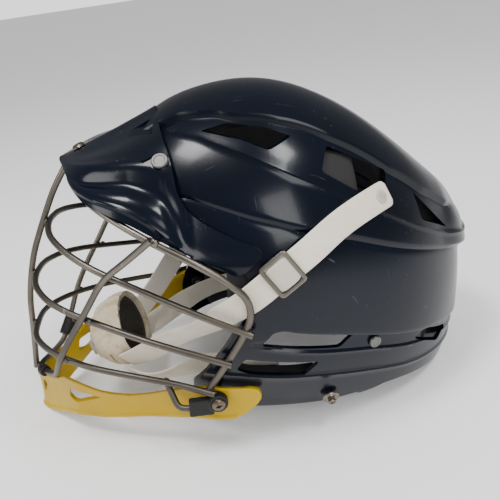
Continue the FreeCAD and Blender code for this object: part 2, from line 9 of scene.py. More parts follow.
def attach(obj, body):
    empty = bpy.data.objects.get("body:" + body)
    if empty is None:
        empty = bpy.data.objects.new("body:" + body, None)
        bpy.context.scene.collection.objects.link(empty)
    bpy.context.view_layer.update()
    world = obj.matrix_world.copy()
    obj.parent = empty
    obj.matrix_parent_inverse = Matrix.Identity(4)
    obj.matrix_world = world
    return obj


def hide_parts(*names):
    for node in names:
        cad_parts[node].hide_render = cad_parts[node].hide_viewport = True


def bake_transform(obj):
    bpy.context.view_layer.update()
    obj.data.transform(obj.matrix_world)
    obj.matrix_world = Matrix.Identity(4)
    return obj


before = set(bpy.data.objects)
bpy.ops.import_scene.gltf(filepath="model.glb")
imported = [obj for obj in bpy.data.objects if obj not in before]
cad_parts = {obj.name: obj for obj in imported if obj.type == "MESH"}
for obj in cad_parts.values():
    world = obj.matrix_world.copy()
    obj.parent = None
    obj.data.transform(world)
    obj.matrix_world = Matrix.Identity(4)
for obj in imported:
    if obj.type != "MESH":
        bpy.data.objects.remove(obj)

bl_info = {
    "name": "Lacrosse Helmet",
    "version": (1, 0, 0),
    "blender": (4, 5, 0),
    "location": "View3D > Sidebar > Helmet",
    "description": "Models a lacrosse helmet's shell, visor, guard, straps, cup and fastenings",
    "category": "Object",
}

MM = 0.001
# The pieces are drawn with the helmet level, as worn, in millimetres, and then leaned back to where it rests.
AT_REST = Matrix.Translation((0, -5.05 * MM, -21.55 * MM)) @ Matrix.Rotation(math.radians(-6.8), 4, "X")
SIDES = (("left", 1), ("right", -1))
ROOT = "helmet"
CUP = "chin_cup_body"
REAR = "rear_fit"


# ---- settings

class HelmetShellSettings(bpy.types.PropertyGroup):
    wall: bpy.props.FloatProperty(name="Wall", description="Thickness of the hard shell", default=0.0036,
                                  unit="LENGTH")
    visor_wall: bpy.props.FloatProperty(name="Visor wall", description="Thickness of the visor",
                                        default=0.003, unit="LENGTH")
    guard_wall: bpy.props.FloatProperty(name="Guard wall", description="Thickness of the chin guard",
                                        default=0.0034, unit="LENGTH")
    colour: bpy.props.FloatVectorProperty(name="Shell colour",
                                          description="Colour of the shell and the visor",
                                          default=(0.0018, 0.0036, 0.0092), subtype="COLOR")
    guard_colour: bpy.props.FloatVectorProperty(name="Guard colour", description="Colour of the chin guard",
                                                default=(0.46, 0.305, 0.0), subtype="COLOR")


class HelmetStrapSettings(bpy.types.PropertyGroup):
    width: bpy.props.FloatProperty(name="Width", description="Width of the webbing", default=0.019,
                                   unit="LENGTH")
    thickness: bpy.props.FloatProperty(name="Thickness", description="Thickness of the webbing",
                                       default=0.0016, unit="LENGTH")
    colour: bpy.props.FloatVectorProperty(name="Webbing colour", description="Colour of the straps",
                                          default=(0.72, 0.67, 0.57), subtype="COLOR")
    cup_colour: bpy.props.FloatVectorProperty(name="Cup colour", description="Colour of the chin cup",
                                              default=(0.66, 0.58, 0.44), subtype="COLOR")


class HelmetStageSettings(bpy.types.PropertyGroup):
    lens: bpy.props.FloatProperty(name="Lens", description="Focal length of the camera, in millimetres",
                                  default=40.32)
    floor: bpy.props.FloatProperty(name="Floor", description="Side of the square floor", default=60.0,
                                   unit="LENGTH")


# ---- curves and the head form

def smooth_through(points, count):
    """Samples of a natural cubic spline through the points, evenly spaced along its chords."""
    points = np.array(points, float)
    chord = np.concatenate([[0], np.cumsum(np.linalg.norm(np.diff(points, axis=0), axis=1))])
    gap = np.diff(chord)
    system = np.eye(len(points))
    right = np.zeros_like(points)
    for i in range(1, len(points) - 1):
        system[i, i - 1:i + 2] = gap[i - 1], 2 * (gap[i - 1] + gap[i]), gap[i]
        right[i] = 6 * ((points[i + 1] - points[i]) / gap[i] - (points[i] - points[i - 1]) / gap[i - 1])
    bend = np.linalg.solve(system, right)
    at = np.linspace(0, chord[-1], count)
    k = np.clip(np.searchsorted(chord, at, side="right") - 1, 0, len(points) - 2)
    step = gap[k][:, None]
    a = (chord[k + 1] - at)[:, None] / step
    b = 1 - a
    return a * points[k] + b * points[k + 1] + ((a**3 - a) * bend[k] + (b**3 - b) * bend[k + 1]) * step**2 / 6


def along(table, at):
    """The value at a place of a curve given as (place, value) pairs."""
    places, values = zip(*table)
    return float(np.interp(at, places, values))


def ease(low, high, value):
    share = min(max((value - low) / (high - low), 0.0), 1.0)
    return share * share * (3 - 2 * share)


# Head form stations, front to back: place, half width, crown height, keel height.
STATIONS = [(-99, 22, 208, 126), (-91, 62, 230, 86), (-71, 90, 250, 36), (-40, 103, 265, -5),
            (5, 113.5, 271, -15), (53, 109.5, 259, -25), (101, 97, 231, -24), (143, 72, 198, -12),
            (164, 49, 180, 4), (175, 29, 164, 24), (180, 11, 144, 52), (180.6, 6, 141, 55),
            (180.84, 0.8, 139, 57)]
FORM = smooth_through(STATIONS, 600)


def form_at(y):
    """Half width, middle height and half height of the head form's section at y."""
    width, crown, keel = (float(np.interp(y, FORM[:, 0], FORM[:, i])) for i in (1, 2, 3))
    return width, (crown + keel) / 2, (crown - keel) / 2


def form_point(y, turn):
    width, middle, half = form_at(y)
    return Vector((width * math.cos(turn), y, middle + half * math.sin(turn)))


def form_normal(y, turn):
    step = 0.6
    ahead = form_point(min(y + step, 180.8), turn) - form_point(max(y - step, -99), turn)
    round_ = form_point(y, turn + 0.01) - form_point(y, turn - 0.01)
    return ahead.cross(round_).normalized()


def skin(y, z, clearance):
    """A point this far off the shell's left face, and the outward direction there."""
    _, middle, half = form_at(y)
    turn = math.asin(max(-1, min(1, (z - middle) / half)))
    out = form_normal(y, turn)
    return form_point(y, turn) + out * clearance, out


# ---- modelling helpers

def clear_selection():
    if bpy.context.object and bpy.context.object.mode != "OBJECT":
        bpy.ops.object.mode_set(mode="OBJECT")
    bpy.ops.object.select_all(action="DESELECT")


def pick(*things):
    clear_selection()
    for thing in things:
        thing.select_set(True)
    bpy.context.view_layer.objects.active = things[0]


def edit(thing, *steps):
    """Runs edit-mode steps, each an operator and its settings, on the whole of a piece."""
    pick(thing)
    bpy.ops.object.mode_set(mode="EDIT")
    for operator, settings in steps:
        bpy.ops.mesh.select_all(action="SELECT")
        operator(**settings)
    bpy.ops.object.mode_set(mode="OBJECT")


def use(thing, kind, **settings):
    """Adds a modifier with its settings and applies it."""
    pick(thing)
    modifier = thing.modifiers.new(kind.title(), kind)
    for key, value in settings.items():
        setattr(modifier, key, value)
    bpy.ops.object.modifier_apply(modifier=modifier.name)
    return thing


def merged(thing, distance=0.02):
    edit(thing, (bpy.ops.mesh.remove_doubles, {"threshold": distance}),
         (bpy.ops.mesh.normals_make_consistent, {"inside": False}))
    return thing


def faced_out(thing, centre):
    """Turns an open sheet's faces, all one way, to look away from a centre."""
    edit(thing, (bpy.ops.mesh.normals_make_consistent, {"inside": False}))
    if sum(face.normal.dot(face.center - Vector(centre)) * face.area for face in thing.data.polygons) < 0:
        edit(thing, (bpy.ops.mesh.flip_normals, {}))
    return thing


def named(name):
    thing = bpy.context.object
    thing.name = thing.data.name = name
    return thing


def sided(values, sign):
    """A place or direction on the helmet's left, or mirrored to its right."""
    return Vector((values[0] * sign, values[1], values[2]))


def axes(x, y, z):
    """The turn whose X, Y and Z run along the three directions."""
    return Matrix((x, y, z)).transposed().to_4x4()


def standing(place, out):
    """Stands a piece drawn up the Z axis on a place, pointing out."""
    turn = Vector((0, 0, 1)).rotation_difference(Vector(out).normalized()).to_matrix().to_4x4()
    return Matrix.Translation(place) @ turn


def moved(thing, matrix):
    thing.data.transform(matrix)
    return thing


def block(name, half_sizes, centre, taper=1.0):
    """A rectangular block; its lower end is narrowed along X by the taper."""
    clear_selection()
    bpy.ops.mesh.primitive_cube_add(size=2)
    thing = named(name)
    for vertex in thing.data.vertices:
        x, y, z = (share * half for share, half in zip(vertex.co, half_sizes))
        narrow = 1.0 if vertex.co.z > 0 else taper
        vertex.co = Vector((x * narrow, y, z)) + Vector(centre)
    return thing


def bevelled(thing, width, segments=2, angle=50):
    """Rounds every edge sharper than the angle."""
    return use(thing, "BEVEL", width=width, segments=segments, limit_method="ANGLE",
               angle_limit=math.radians(angle))


def draped_grid(name, columns, rows, place):
    """A grid whose point at (column, row), as shares of its length and width, is put where place says."""
    clear_selection()
    bpy.ops.mesh.primitive_grid_add(x_subdivisions=columns, y_subdivisions=rows, size=1)
    thing = named(name)
    for vertex in thing.data.vertices:
        vertex.co = place(vertex.co.x + 0.5, vertex.co.y + 0.5)
    return thing


def rounded(points, radius, steps=4):
    """The outline with each corner rounded to the radius, or less where its sides are short."""
    corners = [Vector(point) for point in points]
    made = []
    for before, corner, after in zip(corners[-1:] + corners[:-1], corners, corners[1:] + corners[:1]):
        back, on = before - corner, after - corner
        reach = min(radius, back.length * 0.45, on.length * 0.45)
        start, end = corner + back.normalized() * reach, corner + on.normalized() * reach
        for i in range(steps + 1):
            t = i / steps
            made.append(start * (1 - t)**2 + corner * 2 * t * (1 - t) + end * t * t)
    return made


def prism(name, outline, low=-130.0, high=130.0, radius=2.0):
    """A side-view outline of (y, z) points carried across the helmet."""
    points = rounded(outline, radius) if radius else [Vector(point) for point in outline]
    clear_selection()
    bpy.ops.mesh.primitive_circle_add(vertices=len(points), fill_type="NGON")
    thing = named(name)
    for vertex, point in zip(thing.data.vertices, points):
        vertex.co = (low, point.x, point.y)
    edit(thing, (bpy.ops.mesh.extrude_region_move, {"TRANSFORM_OT_translate": {"value": (high - low, 0, 0)}}),
         (bpy.ops.mesh.normals_make_consistent, {"inside": False}))
    return thing


def plate(name, outline, place, out, ahead, low, high, radius=1.0):
    """An outline of (ahead, across) points on a plane through a place, carried from low to high along out."""
    thing = prism(name, outline, low, high, radius)
    out = Vector(out).normalized()
    ahead = (Vector(ahead) - out * Vector(ahead).dot(out)).normalized()
    return moved(thing, Matrix.Translation(place) @ axes(out, ahead, out.cross(ahead)))


def join(name, things):
    pick(*things)
    if len(things) > 1:
        bpy.ops.object.join()
    return named(name)


def carve(thing, cutters, operation="DIFFERENCE"):
    """Cuts the cutters, which don't touch each other, out of a piece and throws them away."""
    tool = join("cutter", cutters)
    use(thing, "BOOLEAN", object=tool, operation=operation, solver="MANIFOLD")
    bpy.data.objects.remove(tool)
    return thing


def turned(name, profile, place, out, steps=40):
    """A turned piece: a profile of (radius, height) points spun about its axis, standing on a place."""
    clear_selection()
    bpy.ops.mesh.primitive_circle_add(vertices=len(profile), fill_type="NGON")
    thing = named(name)
    for vertex, (radius, height) in zip(thing.data.vertices, profile):
        vertex.co = (radius, 0, height)
    edit(thing, (bpy.ops.mesh.delete, {"type": "ONLY_FACE"}))
    use(thing, "SCREW", steps=steps, render_steps=steps, use_merge_vertices=True, merge_threshold=0.001)
    edit(thing, (bpy.ops.mesh.remove_doubles, {"threshold": 0.001}),
         (bpy.ops.mesh.delete_loose, {}), (bpy.ops.mesh.dissolve_degenerate, {"threshold": 0.0005}),
         (bpy.ops.mesh.normals_make_consistent, {"inside": False}))
    return moved(thing, standing(place, out))


def finish_piece(thing, material, slot, nodes=(), body=ROOT, sharp=38):
    """Leans a finished piece back to rest, in metres, and gives it its looks and body; its slot is passed on
    but not used.
    """
    moved(thing, AT_REST @ Matrix.Scale(MM, 4))
    pick(thing)
    bpy.ops.object.shade_smooth_by_angle(angle=math.radians(sharp))
    return placed(thing, material, slot, nodes, body)


def placed(thing, material, slot, nodes, body):
    """Gives a piece at rest its material and the body it rides, and hides the nodes it stands for; the slot is
    not used.
    """
    thing.data.materials.clear()
    thing.data.materials.append(material)
    if body:
        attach(thing, body)
    if nodes:
        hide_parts(*nodes)
    return thing


def softened(name, node, voxel, smoothing, material, slot, body=ROOT):
    """A finished copy of a plain node, with its edges rounded as moulded ones are."""
    thing = bpy.data.objects.new(name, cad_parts[node].data.copy())
    bpy.context.scene.collection.objects.link(thing)
    edit(thing, (bpy.ops.mesh.remove_doubles, {"threshold": 1e-6}))
    use(thing, "REMESH", mode="VOXEL", voxel_size=voxel)
    use(thing, "SMOOTH", factor=0.5, iterations=smoothing)
    bpy.ops.object.shade_smooth()
    return placed(thing, material, slot, [node], body)


# ---- materials

def group(name, inputs, outputs):
    tree = bpy.data.node_groups.new(name, "ShaderNodeTree")
    for label, kind, default in inputs:
        socket = tree.interface.new_socket(label, in_out="INPUT", socket_type=kind)
        if default is not None:
            socket.default_value = default
    for label, kind in outputs:
        tree.interface.new_socket(label, in_out="OUTPUT", socket_type=kind)
    return tree, tree.nodes.new("NodeGroupInput"), tree.nodes.new("NodeGroupOutput")


def node(tree, kind, values=None, **settings):
    """A shader node with its settings; a value that is a socket is linked to its input."""
    made = tree.nodes.new("ShaderNode" + kind)
    for key, value in settings.items():
        setattr(made, key, value)
    for key, value in (values or {}).items():
        if isinstance(value, bpy.types.NodeSocket):
            tree.links.new(value, made.inputs[key])
        else:
            made.inputs[key].default_value = value
    return made


def noise(tree, vector, scale, detail, roughness=0.5):
    values = {"Vector": vector, "Scale": scale, "Detail": detail, "Roughness": roughness}
    return node(tree, "TexNoise", values).outputs["Fac"]


def ranged(tree, value, low, high, to_low=0.0, to_high=1.0):
    """A value carried from one range to another."""
    values = {"Value": value, "From Min": low, "From Max": high, "To Min": to_low, "To Max": to_high}
    return node(tree, "MapRange", values).outputs["Result"]


def combined(tree, operation, one, two):
    return node(tree, "Math", {0: one, 1: two}, operation=operation).outputs[0]


def mixed(tree, share, one, two):
    """One colour turning into another by a share."""
    return node(tree, "Mix", {"Factor": share, "A": one, "B": two}, data_type="RGBA").outputs["Result"]


def wear_group():
    """Fine scratches, dust specks and a slow mottle over a surface."""
    tree, given, result = group("Wear", [("Vector", "NodeSocketVector", None),
                                         ("Scratches", "NodeSocketFloat", 0.5),
                                         ("Dust", "NodeSocketFloat", 0.5)],
                                [("Scratch", "NodeSocketFloat"), ("Dust", "NodeSocketFloat"),
                                 ("Mottle", "NodeSocketFloat")])
    place = given.outputs["Vector"]
    streaks = []
    for turn, stretch in (((0.4, 0.2, 0.5), (900, 28, 60)), ((0.1, 1.1, 2.1), (40, 700, 30))):
        mapping = node(tree, "Mapping", {"Vector": place, "Rotation": turn, "Scale": stretch})
        streaks.append(ranged(tree, noise(tree, mapping.outputs["Vector"], 1.0, 2.0, 0.6), 0.72, 0.80))
    scratches = combined(tree, "MULTIPLY", combined(tree, "MAXIMUM", *streaks), given.outputs["Scratches"])
    cells = node(tree, "TexVoronoi", {"Vector": place, "Scale": 230.0, "Randomness": 1.0})
    specks = ranged(tree, cells.outputs["Distance"], 0.10, 0.05)
    patches = ranged(tree, noise(tree, place, 22.0, 3.0), 0.52, 0.68)
    dust = combined(tree, "MULTIPLY", combined(tree, "MULTIPLY", specks, patches), given.outputs["Dust"])
    mottle = noise(tree, place, 9.0, 5.0, 0.55)
    for label, value in (("Scratch", scratches), ("Dust", dust), ("Mottle", mottle)):
        tree.links.new(value, result.inputs[label])
    return tree


def weave_group():
    """Ribs and crossing threads of flat webbing, from its own lengthways and crossways map."""
    tree, given, result = group("Weave", [("Vector", "NodeSocketVector", None),
                                          ("Ribs", "NodeSocketFloat", 60.0),
                                          ("Across", "NodeSocketFloat", 12.0)],
                                [("Height", "NodeSocketFloat")])
    split = node(tree, "SeparateXYZ", {0: given.outputs["Vector"]})
    waves = []
    for axis, count in (("X", "Ribs"), ("Y", "Across")):
        swing = combined(tree, "MULTIPLY", split.outputs[axis], given.outputs[count])
        waves.append(node(tree, "Math", {0: swing}, operation="SINE").outputs[0])
    height = ranged(tree, combined(tree, "MULTIPLY", *waves), -1.0, 1.0)
    tree.links.new(height, result.inputs["Height"])
    return tree


GROUPS = {}
STAIN_COLOUR = (0.30, 0.17, 0.06, 1)


def material(name, colour, second=None, wear=(0.0, 0.0), mottle=0.15, roughness=0.35, rough_wear=0.2,
             metallic=0.0, coat=0.0, bump=0.0, grain=1200.0, weave=None, dust_colour=(0.30, 0.30, 0.30),
             stains=0.0, sheen=0.0, gloss=0.5):
    """A base mottled with a second colour, worn and dusty, over a fine grain or a weave."""
    made = bpy.data.materials.new(name)
    made.use_nodes = True
    tree = made.node_tree
    link = tree.links.new
    shader = tree.nodes["Principled BSDF"]
    for label, value in (("Metallic", metallic), ("Coat Weight", coat), ("Coat Roughness", 0.05),
                         ("Sheen Weight", sheen), ("Specular IOR Level", gloss)):
        shader.inputs[label].default_value = value
    place = node(tree, "TexCoord").outputs
    worn = node(tree, "Group", {"Vector": place["Object"], "Scratches": wear[0], "Dust": wear[1]},
                node_tree=GROUPS["wear"]).outputs
    second = second or [part * (1 - mottle) for part in colour]
    base = mixed(tree, ranged(tree, worn["Mottle"], 0.42, 0.66), (*colour, 1), (*second, 1))
    if stains:
        spots = ranged(tree, noise(tree, place["Object"], 75.0, 5.0, 0.62), 0.52, 0.72, 0.0, stains)
        base = mixed(tree, spots, base, STAIN_COLOUR)
    marks = combined(tree, "MAXIMUM", worn["Scratch"], worn["Dust"])
    link(mixed(tree, marks, base, (*dust_colour, 1)), shader.inputs["Base Color"])
    rough = ranged(tree, worn["Mottle"], 0.3, 0.8, roughness, min(1.0, roughness + rough_wear))
    link(rough, shader.inputs["Roughness"])
    if bump:
        if weave:
            height = node(tree, "Group", {"Vector": place["UV"], "Ribs": weave[0], "Across": weave[1]},
                          node_tree=GROUPS["weave"]).outputs["Height"]
        else:
            height = noise(tree, place["Object"], grain, 3.0)
        relief = node(tree, "Bump", {"Strength": 1.0, "Distance": bump, "Height": height})
        link(relief.outputs["Normal"], shader.inputs["Normal"])
    return made


MATERIALS = {}


def make_materials():
    shell = bpy.context.scene.helmet_shell
    straps = bpy.context.scene.helmet_straps
    GROUPS["wear"] = wear_group()
    GROUPS["weave"] = weave_group()
    navy = tuple(shell.colour)
    MATERIALS.update({
        "navy": material("Navy gloss plastic", navy, wear=(0.16, 0.5), mottle=0.35, roughness=0.16,
                         rough_wear=0.14, coat=0.06, bump=0.00002, grain=500, gloss=0.27),
        "yellow": material("Yellow gloss plastic", tuple(shell.guard_colour), (0.39, 0.24, 0.0),
                           (0.10, 0.2), roughness=0.26, rough_wear=0.15, gloss=0.25,
                           dust_colour=(0.5, 0.35, 0.05)),
        "wire": material("Burnished wire", (0.17, 0.152, 0.128), (0.10, 0.089, 0.075), (0.8, 0.2),
                         roughness=0.30, rough_wear=0.25, metallic=1.0, bump=0.00004, grain=900,
                         dust_colour=(0.55, 0.52, 0.47)),
        "cut": material("Cut wire ends", (0.62, 0.58, 0.50), roughness=0.25, metallic=1.0),
        "webbing": material("Cream webbing", tuple(straps.colour), (0.60, 0.53, 0.42), (0.0, 0.15),
                            roughness=0.75, bump=0.00018, weave=(900.0, 75.0), stains=0.10, sheen=0.15,
                            dust_colour=(0.35, 0.30, 0.24)),
        "buckle": material("Dull plated steel", (0.20, 0.19, 0.16), (0.12, 0.11, 0.09), (0.5, 0.2),
                           roughness=0.28, metallic=1.0, bump=0.00002, dust_colour=(0.5, 0.48, 0.42)),
        "clip": material("Black moulded plastic", (0.009, 0.009, 0.009), wear=(0.3, 0.5), roughness=0.42,
                         gloss=0.3, bump=0.00005, grain=1500, dust_colour=(0.16, 0.16, 0.15)),
        "screw": material("Worn screw steel", (0.26, 0.23, 0.19), (0.13, 0.10, 0.07), (0.6, 0.4),
                          roughness=0.25, metallic=1.0, bump=0.00003, dust_colour=(0.16, 0.13, 0.10)),
        "snap": material("Grey snap cap", (0.15, 0.15, 0.14), wear=(0.4, 0.4), roughness=0.35, metallic=0.6,
                         dust_colour=(0.5, 0.5, 0.46)),
        "cup": material("Soft cream cup", tuple(straps.cup_colour), (0.50, 0.41, 0.27), (0.0, 0.3),
                        roughness=0.62, bump=0.00012, grain=900, stains=0.7, dust_colour=(0.30, 0.20, 0.10)),
        "mesh": material("Dark lining mesh", (0.050, 0.048, 0.040), (0.09, 0.075, 0.05), (0.0, 0.3),
                         roughness=0.85, bump=0.0005, grain=520, stains=0.35),
        "disc": material("Grey oval pad", (0.30, 0.29, 0.27), (0.22, 0.20, 0.17), roughness=0.6,
                         bump=0.0001, grain=700, stains=0.3),
        "foam": material("Black foam", (0.012, 0.012, 0.013), wear=(0.1, 0.5), roughness=0.75, bump=0.00025,
                         grain=650, dust_colour=(0.12, 0.12, 0.11)),
        "cradle": material("Grey cradle plastic", (0.06, 0.06, 0.065), wear=(0.3, 0.3), roughness=0.45,
                           bump=0.00005, dust_colour=(0.2, 0.2, 0.2)),
    })


# ---- shell

# Edges on the shell's flank, front to back: the crown band's edge as (y, x), and the others as (y, z).
BAND = [(-99, 16), (-70, 26), (-53, 31), (-41, 37), (-28, 42), (-19, 48), (12, 55), (45, 58), (69, 57),
        (94, 56), (124, 48), (153, 33), (170, 16), (178, 0.6), (180.5, 0.05), (182, 0)]
BELT = [(-99, 222), (-80, 238), (-64, 246), (-42, 244), (-10, 234), (13, 224), (35, 214), (67, 199),
        (81, 192), (111, 176), (147, 158), (170, 149), (182, 148)]
CREASE = [(-99, 205), (-70, 212), (-52, 211), (-14, 200), (3, 196), (30, 187), (56, 180), (84, 170),
          (131, 154), (160, 143), (172, 138), (182, 137)]
LIP = [(-99, 112), (-9, 116), (3, 124), (30, 119), (56, 113), (86, 105), (111, 99), (145, 92), (170, 84),
       (182, 82)]
RIDGE_A = [(-99, 106), (-9, 110), (35, 102), (73, 96), (103, 89), (140, 82), (172, 74), (182, 73)]
RIDGE_B = [(-99, 84), (-24, 84), (30, 81), (76, 75), (108, 69), (141, 65), (172, 61), (182, 60)]
RIM = [(-99, 34), (182, 34)]

# For each edge: half the width of its step, and how far the shell stands out before, on and after it.
STEPS = [(1.7, 2.6, 0.9, -1.8), (2.4, -0.9, 1.3, 0.4), (2.6, 0.8, -0.9, 0.0), (1.3, 1.6, 0.8, -1.9),
         (1.6, -1.3, 0.4, -0.9), (1.8, -0.5, 1.1, -0.5), (1.5, 0.0, 0.0, 0.0)]
ROWS_BETWEEN = [6, 5, 4, 9, 1, 3, 3]
# The least turn between rows, and how far the crown and the bulge at the back stand out.
SPARE = 0.008
CROWN_RISE = 2.2
KNOB_RISE = 5.5

FACE_CUT = [(205, 42), (160, 44), (130, 50), (106, 53), (88, 53), (68, 50), (45, 46), (20, 45), (-14, 42),
            (-50, 38), (-56, 46), (-57, 66), (-38, 103), (-27, 124), (-16, 145), (-15, 160), (-30, 176),
            (-55, 190), (-75, 200), (-115, 204), (-130, 204), (-130, -70), (205, -70)]
VENTS = {"crown_vent": [(-40, 247.5), (-22, 252), (2, 250), (20, 244), (3, 237.5), (-14, 243.5)],
         "rear_vent": [(44, 236), (91, 214), (87, 203), (75, 200), (37, 223)],
         "knob_vent": [(115, 195), (149, 162), (119, 177)],
         "ear_slot_upper": [(-10, 112), (-3, 124), (4, 126), (57, 113), (46, 103.5)],
         "ear_slot_lower": [(-27, 89), (-21, 100), (32, 94), (22, 83), (-19, 85.5)],
         "nape_vent": [(111, 91), (123, 95), (151, 82), (141, 73)]}


def edge_turns(y):
    """The turn round the form's section of each flank edge, crown first, and how much of it shows."""
    width, middle, half = form_at(y)
    reach = along(BAND, y) / max(width, 0.1)
    found = [(math.acos(min(0.97, reach)), 1 - ease(148, 168, y))]
    for table in (BELT, CREASE, LIP, RIDGE_A, RIDGE_B, RIM):
        rise = (along(table, y) - middle) / half
        found.append((math.asin(max(-0.99, min(0.99, rise))), 1 - ease(0.93, 1.0, abs(rise))))
    return found


def knob(y, z):
    """How far the bulge at the back of the head stands out, between the crease and the crown."""
    low, high = along(CREASE, y), along(BELT, y)
    return KNOB_RISE * ease(138, 176, y) * ease(low - 2, low + 2, z) * (1 - ease(high + 1, high + 26, z))


def flank_rows(y):
    """Pairs of turn and stand-off for one column of the shell's left half, from the crown to the keel."""
    width, middle, half = form_at(y)
    front = ease(-20, 4, y)
    turns, offs = [math.pi / 2], [CROWN_RISE * (1 - ease(168, 178, y))]
    for index, ((turn, seen), (reach, *steps), between) in enumerate(zip(edge_turns(y), STEPS, ROWS_BETWEEN)):
        radius = max(30.0, math.hypot(width * math.sin(turn), half * math.cos(turn)))
        swing = reach / radius
        scale = seen * (front if index in (3, 4) else 1.0)
        steps = [step * scale for step in steps]
        last_turn, last_off = turns[-1], offs[-1]
        for i in range(1, between + 1):
            share = i / (between + 1)
            turns.append(last_turn + (turn + swing - last_turn) * share)
            offs.append(last_off + (steps[0] - last_off) * share)
        turns += [turn + swing, turn, turn - swing]
        offs += steps
    turns.append(-math.pi / 2)
    offs.append(0.0)
    for i in range(1, len(turns)):
        turns[i] = min(turns[i], turns[i - 1] - SPARE)
    for i in range(len(turns) - 2, 0, -1):
        turns[i] = max(turns[i], turns[i + 1] + SPARE)
    return [(turn, off + knob(y, middle + half * math.sin(turn))) for turn, off in zip(turns, offs)]


COLUMNS = 104


def shell_place():
    """Places of the shell's grid, worked out column by column."""
    count = len(flank_rows(0))
    columns = []
    for index in range(COLUMNS + 1):
        y = float(np.interp(index / COLUMNS, np.linspace(0, 1, len(FORM)), FORM[:, 0]))
        columns.append([form_point(y, turn) + form_normal(y, turn) * off for turn, off in flank_rows(y)])

    def place(length_share, width_share):
        column = columns[round(length_share * COLUMNS)]
        row = round(width_share * 2 * (count - 1)) - (count - 1)
        point = column[abs(row)]
        return sided(point, 1 if row >= 0 else -1)

    return place, 2 * (count - 1)


def make_shell():
    settings = bpy.context.scene.helmet_shell
    place, rows = shell_place()
    shell = draped_grid("shell_body", COLUMNS, rows, place)
    merged(shell, 0.01)
    edit(shell, (bpy.ops.mesh.fill_holes, {"sides": 0}))
    edit(shell, (bpy.ops.mesh.subdivide, {"number_cuts": 1}))
    use(shell, "SMOOTH", factor=0.4, iterations=2)
    faced_out(shell, (0, 30, 130))
    use(shell, "SOLIDIFY", thickness=settings.wall / MM, offset=-1, use_rim=True)
    cutters = [prism("face", FACE_CUT, radius=5.0)]
    cutters += [prism(name, points, radius=2.6) for name, points in VENTS.items()]
    carve(shell, cutters)
    return finish_piece(shell, MATERIALS["navy"], "shell_navy", ["shell"], sharp=32)


# ---- visor

# Arches of the visor's outer face: place, half width, springing height and top height.
ARCHES = [(-141, 7, 216, 223), (-134, 34, 214, 225.5), (-120, 66, 204, 232), (-100, 84, 195, 240),
          (-85, 92, 185, 247), (-71, 98, 170, 254.0), (-40, 109, 122, 268), (5, 118.5, 117, 274)]
ARCH_FORM = smooth_through(ARCHES, 300)
VISOR_OUTLINE = [(-143, 221.5), (-135, 220), (-130, 215.5), (-125, 211.5), (-120, 208), (-101, 203),
                 (-90, 199), (-73, 190), (-52, 178), (-26, 165.5), (-20, 167.5), (-7, 180), (-12, 184),
                 (-28, 190), (-44, 198), (-54, 206), (-59, 216), (-61, 232), (-67, 250), (-69, 262),
                 (-69, 292), (-143, 292)]
# Lines on the visor's left side, as (y, share of the way round from the side to the crown).
HOLLOW = [(-132, 0.36), (-112, 0.40), (-90, 0.40), (-70, 0.36), (-58, 0.30)]
FLANK_LINE = [(-139, 0.12), (-120, 0.19), (-95, 0.20), (-70, 0.19), (-40, 0.23), (-5, 0.24)]
BROW_LINE = [(-140, 0.6), (-118, 0.56), (-95, 0.54), (-78, 0.52), (-66, 0.50)]
VISOR_COLUMNS = 110
VISOR_ROWS = 150


def visor_point(y, turn):
    width, springing, top = (float(np.interp(y, ARCH_FORM[:, 0], ARCH_FORM[:, i])) for i in (1, 2, 3))
    return Vector((width * math.cos(turn), y, springing + (top - springing) * math.sin(turn)))


def bump_line(table, y, share, width):
    return math.exp(-((share - along(table, y)) / width) ** 2)


def visor_place(length_share, width_share):
    y = -141 + 141 * length_share
    turn = math.pi * (0.5 + (width_share - 0.5) * 0.995)
    share = 2 * (0.5 - abs(width_share - 0.5))
    point = visor_point(y, turn)
    here = ease(-139, -112, y) * (1 - ease(-66, -50, y))
    lift = -5.0 * bump_line(HOLLOW, y, share, 0.075) * here
    lift += 1.3 * bump_line(FLANK_LINE, y, share, 0.018) * ease(-140, -120, y)
    lift += 1.5 * bump_line(BROW_LINE, y, share, 0.05) * here
    lift -= 2.2 * math.exp(-((share - 0.8) / 0.13) ** 2) * here
    lift += 1.6 * math.exp(-((share - 1.0) / 0.05) ** 2) * ease(-132, -90, y)
    middle = Vector((0, y, visor_point(y, math.pi / 2).z - 70))
    return point + (point - middle).normalized() * lift


def make_visor():
    settings = bpy.context.scene.helmet_shell
    visor = draped_grid("visor_peak", VISOR_COLUMNS, VISOR_ROWS, visor_place)
    merged(visor, 0.02)
    faced_out(visor, (0, -60, 120))
    use(visor, "SOLIDIFY", thickness=settings.visor_wall / MM, offset=-1, use_rim=True)
    outline = prism("outline", VISOR_OUTLINE, radius=6.0)
    carve(visor, [outline], "INTERSECT")
    pockets = []
    for _, sign in SIDES:
        pockets.append(plate("pocket", [(-26, 3), (1, -15), (3, -1), (1, 8)], (24 * sign, -73, 247),
                             (0.30 * sign, -0.25, 0.92), (0, 1, 0.15), -1.4, 12, 1.2))
        pockets.append(plate("snap_seat", [(-13, 0), (0, -7.5), (13, 0), (0, 7.5)], (66 * sign, -68, 233),
                             (0.62 * sign, -0.15, 0.77), (0.1 * sign, 1, -0.1), -1.3, 9, 1.0))
    carve(visor, pockets)
    return finish_piece(visor, MATERIALS["navy"], "shell_navy", ["visor"], sharp=32)


# ---- chin guard

